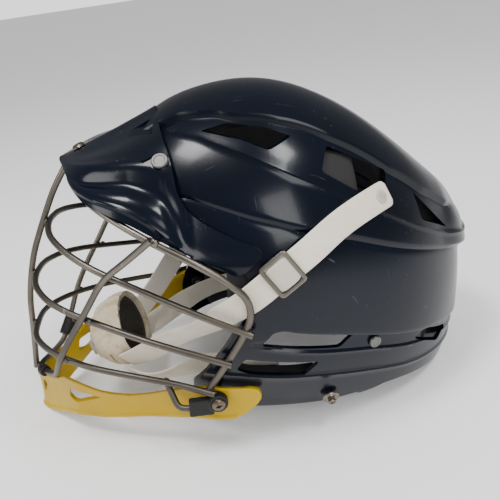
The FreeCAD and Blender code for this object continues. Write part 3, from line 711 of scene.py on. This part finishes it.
GUARD_PLAN = [(0, -187.5), (3, -186.5), (20, -171.5), (23, -168.5), (44, -150), (58, -129), (69, -107),
              (79, -86), (90, -62), (101, -38), (107, -10)]
GUARD_TOP = [(-190, 34), (-170, 42.5), (-166, 44), (-160, 50), (-150, 52), (-135, 50), (-120, 50),
             (-105, 52), (-90, 57), (-75, 64), (-62, 70), (-44, 74), (-18, 74), (-12, 72.5), (-9.6, 68)]
GUARD_BOTTOM = [(-192, 0), (-182, 0), (-177, 2), (-150, 19), (-129, 25), (-108, 31), (-92, 36), (-62, 42),
                (-40, 45), (-28, 47), (-19, 53), (-12, 61), (-9.6, 66)]
GUARD_WINDOW = [(-155.5, 42), (-129, 43.5), (-152.5, 29), (-157.5, 31.5)]
# Rows of the guard, as (share of its height, how far it stands out): a rolled lip along both edges.
GUARD_ROWS = [(0.0, 1.2), (0.035, 1.7), (0.08, 1.5), (0.13, 0.3), (0.2, 0.0), (0.35, -0.3), (0.5, -0.4),
              (0.65, -0.3), (0.8, 0.0), (0.88, 0.2), (0.93, 0.8), (0.97, 0.9), (1.0, 0.5)]
GUARD_COLUMNS = 180


def make_guard():
    settings = bpy.context.scene.helmet_shell
    half = np.array(GUARD_PLAN, float)
    whole = np.vstack([(half * (-1, 1))[:0:-1], half])
    chord = np.concatenate([[0], np.cumsum(np.linalg.norm(np.diff(whole, axis=0), axis=1))])

    def plan(share):
        at = share * chord[-1]
        return Vector((float(np.interp(at, chord, whole[:, 0])), float(np.interp(at, chord, whole[:, 1]))))

    def place(length_share, width_share):
        here = plan(length_share)
        ahead = plan(min(length_share + 0.004, 1)) - plan(max(length_share - 0.004, 0))
        out = Vector((ahead.y, -ahead.x)).normalized()
        share, stand = GUARD_ROWS[round(width_share * (len(GUARD_ROWS) - 1))]
        low, high = along(GUARD_BOTTOM, here.y), along(GUARD_TOP, here.y)
        spot = here + out * (stand * (1 - ease(-30, -14, here.y)))
        return Vector((spot.x, spot.y, low + (high - low) * share))

    guard = draped_grid("chin_guard_band", GUARD_COLUMNS, len(GUARD_ROWS) - 1, place)
    faced_out(guard, (0, -60, 40))
    use(guard, "SOLIDIFY", thickness=settings.guard_wall / MM, offset=-1, use_rim=True, use_even_offset=True)
    slot = plate("front_slot", [(-6, -1.6), (6, -1.6), (6, 1.6), (-6, 1.6)], (6, -182, 24), (0.7, -0.7, 0),
                 (0.15, 0, 1), -12, 8, 1.5)
    carve(guard, [prism("window", GUARD_WINDOW, radius=2.5), slot])
    bevelled(guard, 0.5)
    return finish_piece(guard, MATERIALS["yellow"], "guard_yellow", ["chin_guard"], sharp=24)


# ---- cage

# Where wires are welded: place, and the two directions that the wires run in.
WELDS = [((0, -158.9, 173), (1, 0.1, 0), (0, -0.35, -1)), ((0, -175.3, 129.4), (1, 0.05, 0), (0, -0.2, -1)),
         ((0, -181.9, 83.4), (1, 0, 0), (0, -0.03, -1)), ((0, -138.2, 212.6), (1, 0.1, 0), (0, -0.5, -1)),
         ((0, -186.2, 41), (1, 0, 0), (0, 0, 1)),
         ((73.5, -108, 156.5), (0.5, 0.85, -0.2), (0.25, 0.6, 0.85)),
         ((68.3, -128, 120), (0.5, 0.85, -0.1), (0.25, 0.5, 0.85)),
         ((56, -151.5, 81), (0.6, 0.8, 0), (0.4, 0.3, 0.85)),
         ((98.3, -75.8, 190), (0.5, 0.8, -0.3), (0.4, 0.6, 0.7)),
         ((114.2, -19, 125.8), (0.3, 0.9, -0.3), (-0.2, -0.4, -1)),
         ((107.5, -33.5, 100), (0.3, 0.9, -0.2), (-0.3, -0.5, -1)),
         ((100.5, -46, 72.5), (0.3, 0.9, 0), (-0.2, -0.4, -1)),
         ((85.5, -77, 73), (0.4, 0.85, 0), (0.6, 0.3, -0.7))]
# Cut ends of the bars: place and the direction that the end faces.
ENDS = [((116.5, -17, 125.5), (0.35, 0.93, -0.31)), ((110.5, -31, 99.5), (0.35, 0.9, -0.19)),
        ((104.5, -43, 71.5), (0.47, 0.87, -0.06))]
BEAD = (3.1, 3.1, 2.1)
END_PROFILE = [(0.0, 0.12), (1.7, 0.10), (2.25, -0.1), (2.3, -0.5), (0.0, -0.5)]


def weld_bead(spot, one, two):
    """A flattened, rippled bead where a wire along one direction crosses a wire along another."""
    clear_selection()
    bpy.ops.mesh.primitive_ico_sphere_add(subdivisions=3, radius=1)
    bead = named("bead")
    between = one.cross(two).normalized()
    for vertex in bead.data.vertices:
        x, y, z = vertex.co
        ripple = 1 + 0.10 * math.sin(9 * x + 3 * spot.z) * math.cos(8 * y + spot.x)
        vertex.co = Vector((x * BEAD[0], y * BEAD[1], z * BEAD[2])) * ripple
    return moved(bead, Matrix.Translation(spot) @ axes(one, between.cross(one), between))


def make_cage():
    for name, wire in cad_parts.items():
        if name.startswith("cage_"):
            wire.data.materials.clear()
            wire.data.materials.append(MATERIALS["wire"])
    beads = []
    for place, first, second in WELDS:
        for sign in ((1,) if place[0] == 0 else (1, -1)):
            beads.append(weld_bead(sided(place, sign), sided(first, sign).normalized(),
                                   sided(second, sign).normalized()))
    finish_piece(join("cage_weld_beads", beads), MATERIALS["wire"], "cage_steel", sharp=60)
    ends = [turned("end", END_PROFILE, sided(place, sign), sided(out, sign), 24)
            for place, out in ENDS for _, sign in SIDES]
    finish_piece(join("cage_cut_ends", ends), MATERIALS["cut"], "cage_steel")


# ---- straps and buckles

BUCKLE_PLACE, BUCKLE_OUT = skin(4, 167, 2.9)
STRAP_WAY = Vector((0.03, -0.79, -0.61))
STRAP_WAY = (STRAP_WAY - BUCKLE_OUT * STRAP_WAY.dot(BUCKLE_OUT)).normalized()
STRAP_ACROSS = BUCKLE_OUT.cross(STRAP_WAY)


def on_skin(y, z, ahead_y, ahead_z, off):
    """A strap station lying off the shell, heading for another place on it."""
    here, out = skin(y, z, off)
    ahead, _ = skin(ahead_y, ahead_z, off)
    return tuple(here), tuple(out.cross(ahead - here).normalized())


def at_buckle(reach, lift=0.0):
    """A strap station this far along the strap from the buckle's middle."""
    return tuple(BUCKLE_PLACE + BUCKLE_OUT * lift + STRAP_WAY * reach), tuple(STRAP_ACROSS)


# Stations of each left strap, as a centre and the direction of its width.
UPPER_STRAP = [on_skin(85, 202.5, 60, 197, 3.0), on_skin(62, 198, 40, 188, 2.8),
               on_skin(42, 191, 20, 178, 2.8), at_buckle(-23), at_buckle(0), at_buckle(17),
               ((111.5, -21.5, 147.5), (0.1, 0.6, -0.78)), ((105.5, -31, 138.5), (0, 0.55, -0.8)),
               ((88, -46, 119), (-0.3, 0.6, -0.74)), ((62, -68, 95), (-0.3, 0.5, -0.8)),
               ((47, -85, 77), (-0.2, 0.3, -0.93)), ((38.5, -98, 66), (-0.3, 0.2, -0.93)),
               ((34, -109, 60), (-0.45, 0.1, -0.88))]
LOWER_STRAP = [((27.5, -108, 47), (0.73, 0, 0.68)), ((37, -94, 46), (0.75, -0.1, 0.65)),
               ((48, -74, 52), (0.6, -0.1, 0.8)), ((55, -50, 63), (0.2, 0, 1)),
               ((67, -20, 68), (-0.1, 0, 1)), ((73, 10, 68), (-0.1, 0, 1))]
TAB = [((37, 148, 70), (0.2, 0.1, 1)), ((58, 134, 62), (0.2, 0.1, 1)), ((73, 112, 54), (0.2, 0.1, 1)),
       ((81, 92, 47), (0.3, 0.1, 0.9)), ((84, 72, 42), (0.5, 0.1, 0.8))]
# A rounded strap end: how far back it starts to narrow, and how wide its tip stays.
END_REACH = 5
END_WIDTH = 0.65
# The strap fold over a buckle's window, as (distance along the strap, height), and two places along each strap
# near the cup, in metres.
FOLD = [(8.6, 1.3), (5.0, 3.2), (0, 3.7), (-5.0, 3.2), (-8.6, 1.3)]
UPPER_BEND = [(0.088, -0.046, 0.119), (0.044, -0.086, 0.080)]
LOWER_BEND = [(0.055, -0.050, 0.063), (0.032, -0.097, 0.047)]


def strap(name, stations, width, thickness, sign, round_ends, columns, rows=8):
    """Flat webbing through stations, each a centre and the direction of its width, with its ends rounded."""
    rows_in = [(*centre, *(part * 12 for part in across)) for centre, across in stations]
    table = smooth_through(rows_in, columns + 1)
    length = float(np.sum(np.linalg.norm(np.diff(table[:, :3], axis=0), axis=1)))

    def place(length_share, width_share):
        index = round(length_share * columns)
        row, before, after = table[index], table[max(index - 1, 0)], table[min(index + 1, columns)]
        ahead = Vector(after[:3] - before[:3]).normalized()
        across = Vector(row[3:])
        across = (across - ahead * across.dot(ahead)).normalized()
        half = width / 2
        for end, rounded_here in zip((length_share, 1 - length_share), round_ends):
            reach = end * length
            if rounded_here and reach < END_REACH:
                arc = math.sqrt(max(0.0, 1 - ((END_REACH - reach) / END_REACH) ** 2))
                half *= END_WIDTH + (1 - END_WIDTH) * arc
        return sided(Vector(row[:3]) + across * (2 * width_share - 1) * half, sign)

    made = draped_grid(name, columns, rows, place)
    use(made, "SOLIDIFY", thickness=thickness, offset=0, use_rim=True)
    return merged(bevelled(made, 0.3), 0.001)


def make_straps():
    settings = bpy.context.scene.helmet_straps
    width, thick = settings.width / MM, settings.thickness / MM
    for side, sign in SIDES:
        for level, stations, ends, columns, bend in (("upper", UPPER_STRAP, (True, False), 150, UPPER_BEND),
                                                     ("lower", LOWER_STRAP, (False, True), 70, LOWER_BEND)):
            band = strap(f"webbing_{level}_{side}", stations, width, thick, sign, ends, columns)
            finish_piece(band, MATERIALS["webbing"], "webbing_white", [f"{level}_strap_{side}"], body=None)
            start, end = (AT_REST @ sided(place, sign) for place in bend)
            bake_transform(band)
            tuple(start)
            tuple(end)
        fold = [at_buckle(reach, lift) for reach, lift in FOLD]
        loop = strap(f"webbing_fold_{side}", fold, width - 1.0, thick, sign, (True, True), 40)
        finish_piece(loop, MATERIALS["webbing"], "webbing_white", body=f"slide_{side}")
        tab = strap(f"fit_strap_{side}", TAB, 12, thick + 0.4, sign, (False, True), 60)
        finish_piece(tab, MATERIALS["cradle"], "cradle_grey", [f"fit_tab_{side}"], body=REAR)


def rectangle_ring(name, half_length, half_width, bar, thick):
    """A flat ring with rounded corners and rounded edges, lying on the plane z = 0."""
    clear_selection()
    bpy.ops.mesh.primitive_plane_add(size=2)
    ring = named(name)
    for vertex in ring.data.vertices:
        vertex.co = (vertex.co.x * half_length, vertex.co.y * half_width, -thick / 2)
    edit(ring, (bpy.ops.mesh.bevel, {"offset": 3.2, "segments": 6, "affect": "VERTICES"}),
         (bpy.ops.mesh.inset, {"thickness": bar}))
    pick(ring)
    bpy.ops.object.mode_set(mode="EDIT")
    bpy.ops.mesh.select_all(action="DESELECT")
    bpy.ops.object.mode_set(mode="OBJECT")
    for face in ring.data.polygons:
        face.select = face.center.length < 1 and len(face.vertices) > 4
    bpy.ops.object.mode_set(mode="EDIT")
    bpy.ops.mesh.delete(type="FACE")
    bpy.ops.object.mode_set(mode="OBJECT")
    use(ring, "SOLIDIFY", thickness=thick, offset=1)
    return bevelled(ring, 0.7, 3, 40)


# A buckle's ring: half its length and width, the width of its bars and its thickness.
RING_SIZES = (11.0, 12.9, 3.0, 2.0)


def make_buckles():
    for side, sign in SIDES:
        ring = moved(rectangle_ring("ring", *RING_SIZES), Matrix.Translation((0, 0, 2.2)))
        bars = [block("bar", (1.5, 12.0, 0.65), (0, 0, -1.9))]
        bars += [block("leg", (1.5, 1.1, 2.2), (0, way * 11.6, 0.2)) for way in (-1, 1)]
        buckle = join(f"slide_buckle_{side}", [ring, bevelled(join("middle", bars), 0.5, 2, 40)])
        turn = axes(STRAP_WAY, BUCKLE_OUT.cross(STRAP_WAY), BUCKLE_OUT)
        moved(buckle, Matrix.Translation(BUCKLE_PLACE) @ turn)
        if sign < 0:
            moved(buckle, Matrix.Scale(-1, 4, (1, 0, 0)))
            edit(buckle, (bpy.ops.mesh.flip_normals, {}))
        finish_piece(buckle, MATERIALS["buckle"], "buckle_steel", [f"buckle_{side}"], body=f"slide_{side}")


# ---- chin cup

CUP_CENTRE = Vector((0, -108, 70))
CUP_TURN = Matrix.Rotation(math.radians(-8), 4, "Z") @ Matrix.Rotation(math.radians(22), 4, "X")
# The cup's and the lining's radii, the place of the mouth and the thickness.
CUP_SIZES = ((35, 30, 30), 8, 4)
LINING_SIZES = ((30.8, 25.8, 25.8), 4, 3)
# Raised seams over the cup: where each one crosses its middle, how wide and how high, as shares of the cup.
SEAMS = [(-0.45, 0.03, 0.05), (-0.1, 0.03, 0.05), (0.25, 0.03, 0.06), (0.6, 0.03, 0.06)]
SEAM_SLANT = 0.45
SLOT = [(-8, -1.3), (8, -1.3), (8, 1.3), (-8, 1.3)]
DISC = [(0, 1.2), (4.4, 1.2), (5.2, 2.0), (6.6, 2.0), (7.3, 1.1), (7.3, -0.8), (0, -0.8)]


def cup_half(name, radii, mouth, wall, seams):
    """Half an ellipsoid open towards the chin, with raised seams running over it."""
    clear_selection()
    bpy.ops.mesh.primitive_uv_sphere_add(segments=96, ring_count=64, radius=1)
    cup = named(name)
    for vertex in cup.data.vertices:
        x, y, z = vertex.co
        rise = sum(height * math.exp(-((x - middle - SEAM_SLANT * z) / spread) ** 2)
                   for middle, spread, height in seams)
        rise += 0.012 * math.sin(7 * x + 3 * z) * math.sin(5 * z + 1)
        vertex.co = Vector((x * radii[0], y * radii[1], z * radii[2])) * (1 + rise)
    edit(cup, (bpy.ops.mesh.bisect, {"plane_co": (0, mouth, 0), "plane_no": (0, 1, 0), "clear_outer": True}))
    use(cup, "SOLIDIFY", thickness=wall, offset=-1, use_rim=True)
    return bevelled(cup, 0.9, 3)


def make_cup():
    place = Matrix.Translation(CUP_CENTRE) @ CUP_TURN
    cup = moved(cup_half("chin_cup_shell", *CUP_SIZES, SEAMS), place)
    carve(cup, [plate("slot", SLOT, (30 * sign, -118, 58), (0.85 * sign, -0.4, -0.3), (0.1, -0.35, 0.93),
                      -9, 8, 1.2) for _, sign in SIDES])
    finish_piece(cup, MATERIALS["cup"], "cup_cream", ["chin_cup"], body=CUP, sharp=50)
    liner = moved(cup_half("chin_cup_mesh", *LINING_SIZES, []), place)
    finish_piece(liner, MATERIALS["mesh"], "cup_mesh", ["chin_cup_liner"], body=CUP, sharp=60)
    disc = turned("chin_cup_disc", DISC, (0, 0, 0), (0, 0, 1), 48)
    moved(disc, standing((8, -136.6, 58.5), (0.3, -0.9, -0.32)) @ Matrix.Scale(0.75, 4, (0, 1, 0)))
    finish_piece(disc, MATERIALS["disc"], "cup_mesh", ["chin_cup_snap"], body=CUP, sharp=30)


# ---- liner and rear cradle

PADS = ("forehead_pad", "crown_pad", "back_pad", "side_pad_left", "side_pad_right", "jaw_pad_left",
        "jaw_pad_right")
PAD_VOXEL = 0.0030


def make_liner():
    for name in PADS:
        pad = softened(name.replace("_pad", "_foam"), name, PAD_VOXEL, 10, MATERIALS["foam"], "foam_black")
    softened("rear_cradle", "fit_cradle", PAD_VOXEL, 8, MATERIALS["cradle"], "cradle_grey", REAR)


# ---- fastenings

# Each fastening's profile, as (radius, height) from its face down to its shank. Each seat is the place on the
# left, the outward way there, and how far the profile's zero stands off it.
SNAP = [(0, 2.1), (3.4, 2.1), (3.9, 2.6), (5.0, 2.6), (5.6, 1.9), (5.6, 0), (2.5, 0), (2.5, -7), (0, -7)]
RIVET = [(0, 0.7), (2.6, 0.7), (3.2, 1.1), (4.2, 0.9), (4.6, 0.2), (4.6, -0.8), (2.5, -0.8), (2.5, -5),
         (0, -5)]
STUD = [(0, 4.4), (1.4, 4.4), (1.7, 5.2), (2.7, 5.2), (3.0, 4.7), (3.0, 3.4), (2.6, 2.9), (2.6, 2.3),
        (4.4, 2.1), (4.8, 1.5), (6.1, 1.2), (6.5, 0.7), (6.5, 0), (2.5, 0), (2.5, -5), (0, -5)]
CAP = [(0, 0.9), (3.6, 0.9), (4.6, 0.8), (5.2, 0.35), (5.2, -0.6), (0, -0.6)]
SNAP_SEAT = ((66, -68, 233.4), (0.62, -0.15, 0.77), -1.2)
RIVET_SEAT = ((105, 74, 102), (0.97, 0.22, -0.06), 0)
STUD_SEAT = ((101.4, 44, 54), (0.95, 0.03, -0.31), 0)
CAP_SEAT = (Vector(UPPER_STRAP[0][0]).lerp(Vector(UPPER_STRAP[1][0]), 0.30), skin(80, 201, 0)[1], 0.8)
# Cross-recessed screws: head radius, head height, shank radius and shank length, and where they stand.
PEAK_SCREW = (5.0, 2.4, 2.5, 9)
JAW_SCREW = (5.0, 2.4, 2.5, 27)
CHEEK_SCREW = (3.6, 1.8, 1.4, 1.0)
PEAK_SEAT = ((0, -126.5, 229.6), (0, -0.42, 0.91))
JAW_PLACE = (106.8, -41, 64)
CHEEK_SEAT = ((-37.5, -158.4, 60), (0.35, 0.9, 0.25))
CLAMPS = {"jaw_clip_left": "jaw_clamp_left", "jaw_clip_right": "jaw_clamp_right", "chin_clip": "chin_clamp",
          "cheek_clip": "cheek_clamp", "jaw_nuts": "jaw_tee_nuts"}


def cross_screw(name, place, out, radius, height, shank, length):
    """A domed screw with a cross recess."""
    dome = [(0, height), (radius * 0.4, height * 0.97), (radius * 0.75, height * 0.78),
            (radius * 0.95, height * 0.4), (radius, 0), (shank, 0), (shank, -length), (0, -length)]
    screw = turned(name, dome, (0, 0, 0), (0, 0, 1), 40)
    for turn in (0.35, 0.35 + math.pi / 2):
        blade = block("blade", (radius * 0.58, radius * 0.13, height * 0.6), (0, 0, height * 0.75),
                      taper=0.35)
        carve(screw, [moved(blade, Matrix.Rotation(turn, 4, "Z"))])
    return moved(screw, standing(place, out))


def pair(name, profile, seat):
    """A turned piece on each side; its seat says how far it stands out too."""
    place, out, off = seat
    made = []
    for _, sign in SIDES:
        way = sided(out, sign).normalized()
        made.append(turned(name, profile, sided(place, sign) + way * off, way))
    return join(name, made)


def jaw_screws():
    return join("jaw_cross_screws", [cross_screw("screw", sided(JAW_PLACE, sign), (sign, 0, 0), *JAW_SCREW)
                                     for _, sign in SIDES])


def make_fastenings():
    for thing, look, slot, node_name in (
            (cross_screw("peak_screw", *PEAK_SEAT, *PEAK_SCREW), "screw", "screw_steel", "visor_centre_screw"),
            (pair("peak_snaps", SNAP, SNAP_SEAT), "snap", "screw_steel", "visor_side_snaps"),
            (pair("flank_rivets", RIVET, RIVET_SEAT), "snap", "screw_steel", "shell_rivets"),
            (pair("rim_studs", STUD, STUD_SEAT), "screw", "screw_steel", "lower_strap_studs"),
            (jaw_screws(), "screw", "screw_steel", "jaw_screws"),
            (cross_screw("cheek_cross_screw", *CHEEK_SEAT, *CHEEK_SCREW), "screw", "screw_steel",
             "cheek_clip_screw"),
            (pair("strap_rear_snaps", CAP, CAP_SEAT), "webbing", "cup_cream", "upper_strap_snaps")):
        finish_piece(thing, MATERIALS[look], slot, [node_name], sharp=30)
    for clip, name in CLAMPS.items():
        softened(name, clip, 0.0007, 3, MATERIALS["clip"], "clip_black")


# ---- stage

CAMERA_PLACE = Vector((423.13, -66.51, 333.22))
CAMERA_TILT, CAMERA_HEADING, CAMERA_ROLL = (math.radians(angle) for angle in (25, 9, -1))
# How bright the white room is: as it lights the helmet, as it shines in it, and as it is seen behind it.
ROOM_LIGHT = 0.85
ROOM_SHINE = 0.22
ROOM_SEEN = 1.6
FLOOR_SHADE = (0.88, 0.88, 0.88, 1)
# Soft lights: name, place, the spot it faces, its side in metres and its watts.
LIGHTS = [("overhead", (0.15, -0.35, 1.35), (0, -0.05, 0.15), 0.35, 11),
          ("overhead_back", (0.35, 0.55, 1.25), (0, 0.05, 0.15), 0.30, 7),
          ("side", (1.3, 0.35, 0.85), (0, 0, 0.12), 0.7, 9),
          ("front", (0.5, -1.3, 0.7), (0, -0.1, 0.12), 0.6, 7)]


def make_floor(side):
    clear_selection()
    bpy.ops.mesh.primitive_plane_add(size=side)
    floor = named("floor")
    pale = bpy.data.materials.new("Pale floor")
    pale.use_nodes = True
    shader = pale.node_tree.nodes["Principled BSDF"]
    shader.inputs["Base Color"].default_value = FLOOR_SHADE
    shader.inputs["Roughness"].default_value = 0.9
    floor.data.materials.append(pale)


def make_room():
    world = bpy.data.worlds.new("Soft room")
    world.use_nodes = True
    tree = world.node_tree
    background = tree.nodes["Background"]
    path = node(tree, "LightPath").outputs
    lit = ranged(tree, path["Is Glossy Ray"], 0.0, 1.0, ROOM_LIGHT, ROOM_SHINE)
    strength = node(tree, "Mix", {"Factor": path["Is Camera Ray"], "A": lit, "B": ROOM_SEEN},
                    data_type="FLOAT")
    tree.links.new(strength.outputs["Result"], background.inputs["Strength"])
    background.inputs["Color"].default_value = (1.0, 1.0, 1.0, 1)
    bpy.context.scene.world = world
    for name, place, aim, size, power in LIGHTS:
        clear_selection()
        bpy.ops.object.light_add(type="AREA", location=place)
        light = bpy.context.object
        light.name = name
        light.data.size = size
        light.data.energy = power
        light.rotation_euler = (Vector(aim) - Vector(place)).to_track_quat("-Z", "Y").to_euler()


def make_camera(lens):
    cos_tilt = math.cos(CAMERA_TILT)
    forward = Vector((-cos_tilt * math.cos(CAMERA_HEADING), cos_tilt * math.sin(CAMERA_HEADING),
                      -math.sin(CAMERA_TILT)))
    right = forward.cross(Vector((0, 0, 1))).normalized()
    up = right.cross(forward)
    cos_roll, sin_roll = math.cos(CAMERA_ROLL), math.sin(CAMERA_ROLL)
    turn = axes(right * cos_roll + up * sin_roll, up * cos_roll - right * sin_roll, -forward)
    bpy.ops.object.camera_add()
    camera = bpy.context.object
    camera.data.lens = lens
    camera.matrix_world = AT_REST @ Matrix.Translation(CAMERA_PLACE * MM) @ turn
    bpy.context.scene.camera = camera


def make_stage():
    settings = bpy.context.scene.helmet_stage
    make_floor(settings.floor)
    make_room()
    make_camera(settings.lens)


# ---- operators and panel

class HELMET_OT_stage(bpy.types.Operator):
    """Sets up the floor, the soft lights and the camera."""
    bl_idname = "helmet.stage"
    bl_label = "Stage"

    def execute(self, context):
        make_stage()
        return {"FINISHED"}


class HELMET_OT_shell(bpy.types.Operator):
    """Models the hard shell with its crown band, belts, ridges and vents."""
    bl_idname = "helmet.shell"
    bl_label = "Shell"

    def execute(self, context):
        make_shell()
        return {"FINISHED"}


class HELMET_OT_visor(bpy.types.Operator):
    """Models the visor that arches over the shell's front."""
    bl_idname = "helmet.visor"
    bl_label = "Visor"

    def execute(self, context):
        make_visor()
        return {"FINISHED"}


class HELMET_OT_guard(bpy.types.Operator):
    """Models the chin guard with its rolled edges and windows."""
    bl_idname = "helmet.guard"
    bl_label = "Chin guard"

    def execute(self, context):
        make_guard()
        return {"FINISHED"}


class HELMET_OT_cage(bpy.types.Operator):
    """Finishes the cage wires and adds their weld beads and cut ends."""
    bl_idname = "helmet.cage"
    bl_label = "Cage"

    def execute(self, context):
        make_cage()
        return {"FINISHED"}


class HELMET_OT_straps(bpy.types.Operator):
    """Models the chin straps and the rear fit straps as flat webbing."""
    bl_idname = "helmet.straps"
    bl_label = "Straps"

    def execute(self, context):
        make_straps()
        return {"FINISHED"}


class HELMET_OT_buckles(bpy.types.Operator):
    """Models the two slide buckles."""
    bl_idname = "helmet.buckles"
    bl_label = "Buckles"

    def execute(self, context):
        make_buckles()
        return {"FINISHED"}


class HELMET_OT_cup(bpy.types.Operator):
    """Models the chin cup, its lining mesh and its oval pad."""
    bl_idname = "helmet.cup"
    bl_label = "Chin cup"

    def execute(self, context):
        make_cup()
        return {"FINISHED"}


class HELMET_OT_liner(bpy.types.Operator):
    """Models the foam pads and the rear cradle."""
    bl_idname = "helmet.liner"
    bl_label = "Liner"

    def execute(self, context):
        make_liner()
        return {"FINISHED"}


class HELMET_OT_fastenings(bpy.types.Operator):
    """Models the screws, snaps, rivets, studs and clips."""
    bl_idname = "helmet.fastenings"
    bl_label = "Fastenings"

    def execute(self, context):
        make_fastenings()
        return {"FINISHED"}


class HELMET_PT_pieces(bpy.types.Panel):
    """Lists the helmet's pieces."""
    bl_idname = "HELMET_PT_pieces"
    bl_label = "Lacrosse Helmet"
    bl_space_type = "VIEW_3D"
    bl_region_type = "UI"
    bl_category = "Helmet"

    def draw(self, context):
        scene = context.scene
        for settings in (scene.helmet_shell, scene.helmet_straps, scene.helmet_stage):
            box = self.layout.box()
            for name in settings.__annotations__:
                box.prop(settings, name)
        for step in STEPS_IN_ORDER:
            self.layout.operator(step.bl_idname)


SETTINGS = {"helmet_shell": HelmetShellSettings, "helmet_straps": HelmetStrapSettings,
            "helmet_stage": HelmetStageSettings}
STEPS_IN_ORDER = (HELMET_OT_stage, HELMET_OT_shell, HELMET_OT_visor, HELMET_OT_guard, HELMET_OT_cage,
                  HELMET_OT_straps, HELMET_OT_buckles, HELMET_OT_cup, HELMET_OT_liner, HELMET_OT_fastenings)


def register():
    for name, settings in SETTINGS.items():
        bpy.utils.register_class(settings)
        setattr(bpy.types.Scene, name, bpy.props.PointerProperty(type=settings))
    for kind in (*STEPS_IN_ORDER, HELMET_PT_pieces):
        bpy.utils.register_class(kind)


def unregister():
    for kind in reversed((*STEPS_IN_ORDER, HELMET_PT_pieces)):
        bpy.utils.unregister_class(kind)
    for name, settings in SETTINGS.items():
        delattr(bpy.types.Scene, name)
        bpy.utils.unregister_class(settings)


def main():
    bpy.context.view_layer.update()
    register()
    make_materials()
    bpy.ops.helmet.stage()
    bpy.ops.helmet.shell()
    bpy.ops.helmet.visor()
    bpy.ops.helmet.guard()
    bpy.ops.helmet.cage()
    bpy.ops.helmet.straps()
    bpy.ops.helmet.buckles()
    bpy.ops.helmet.cup()
    bpy.ops.helmet.liner()
    bpy.ops.helmet.fastenings()


if __name__ == "__main__":
    main()
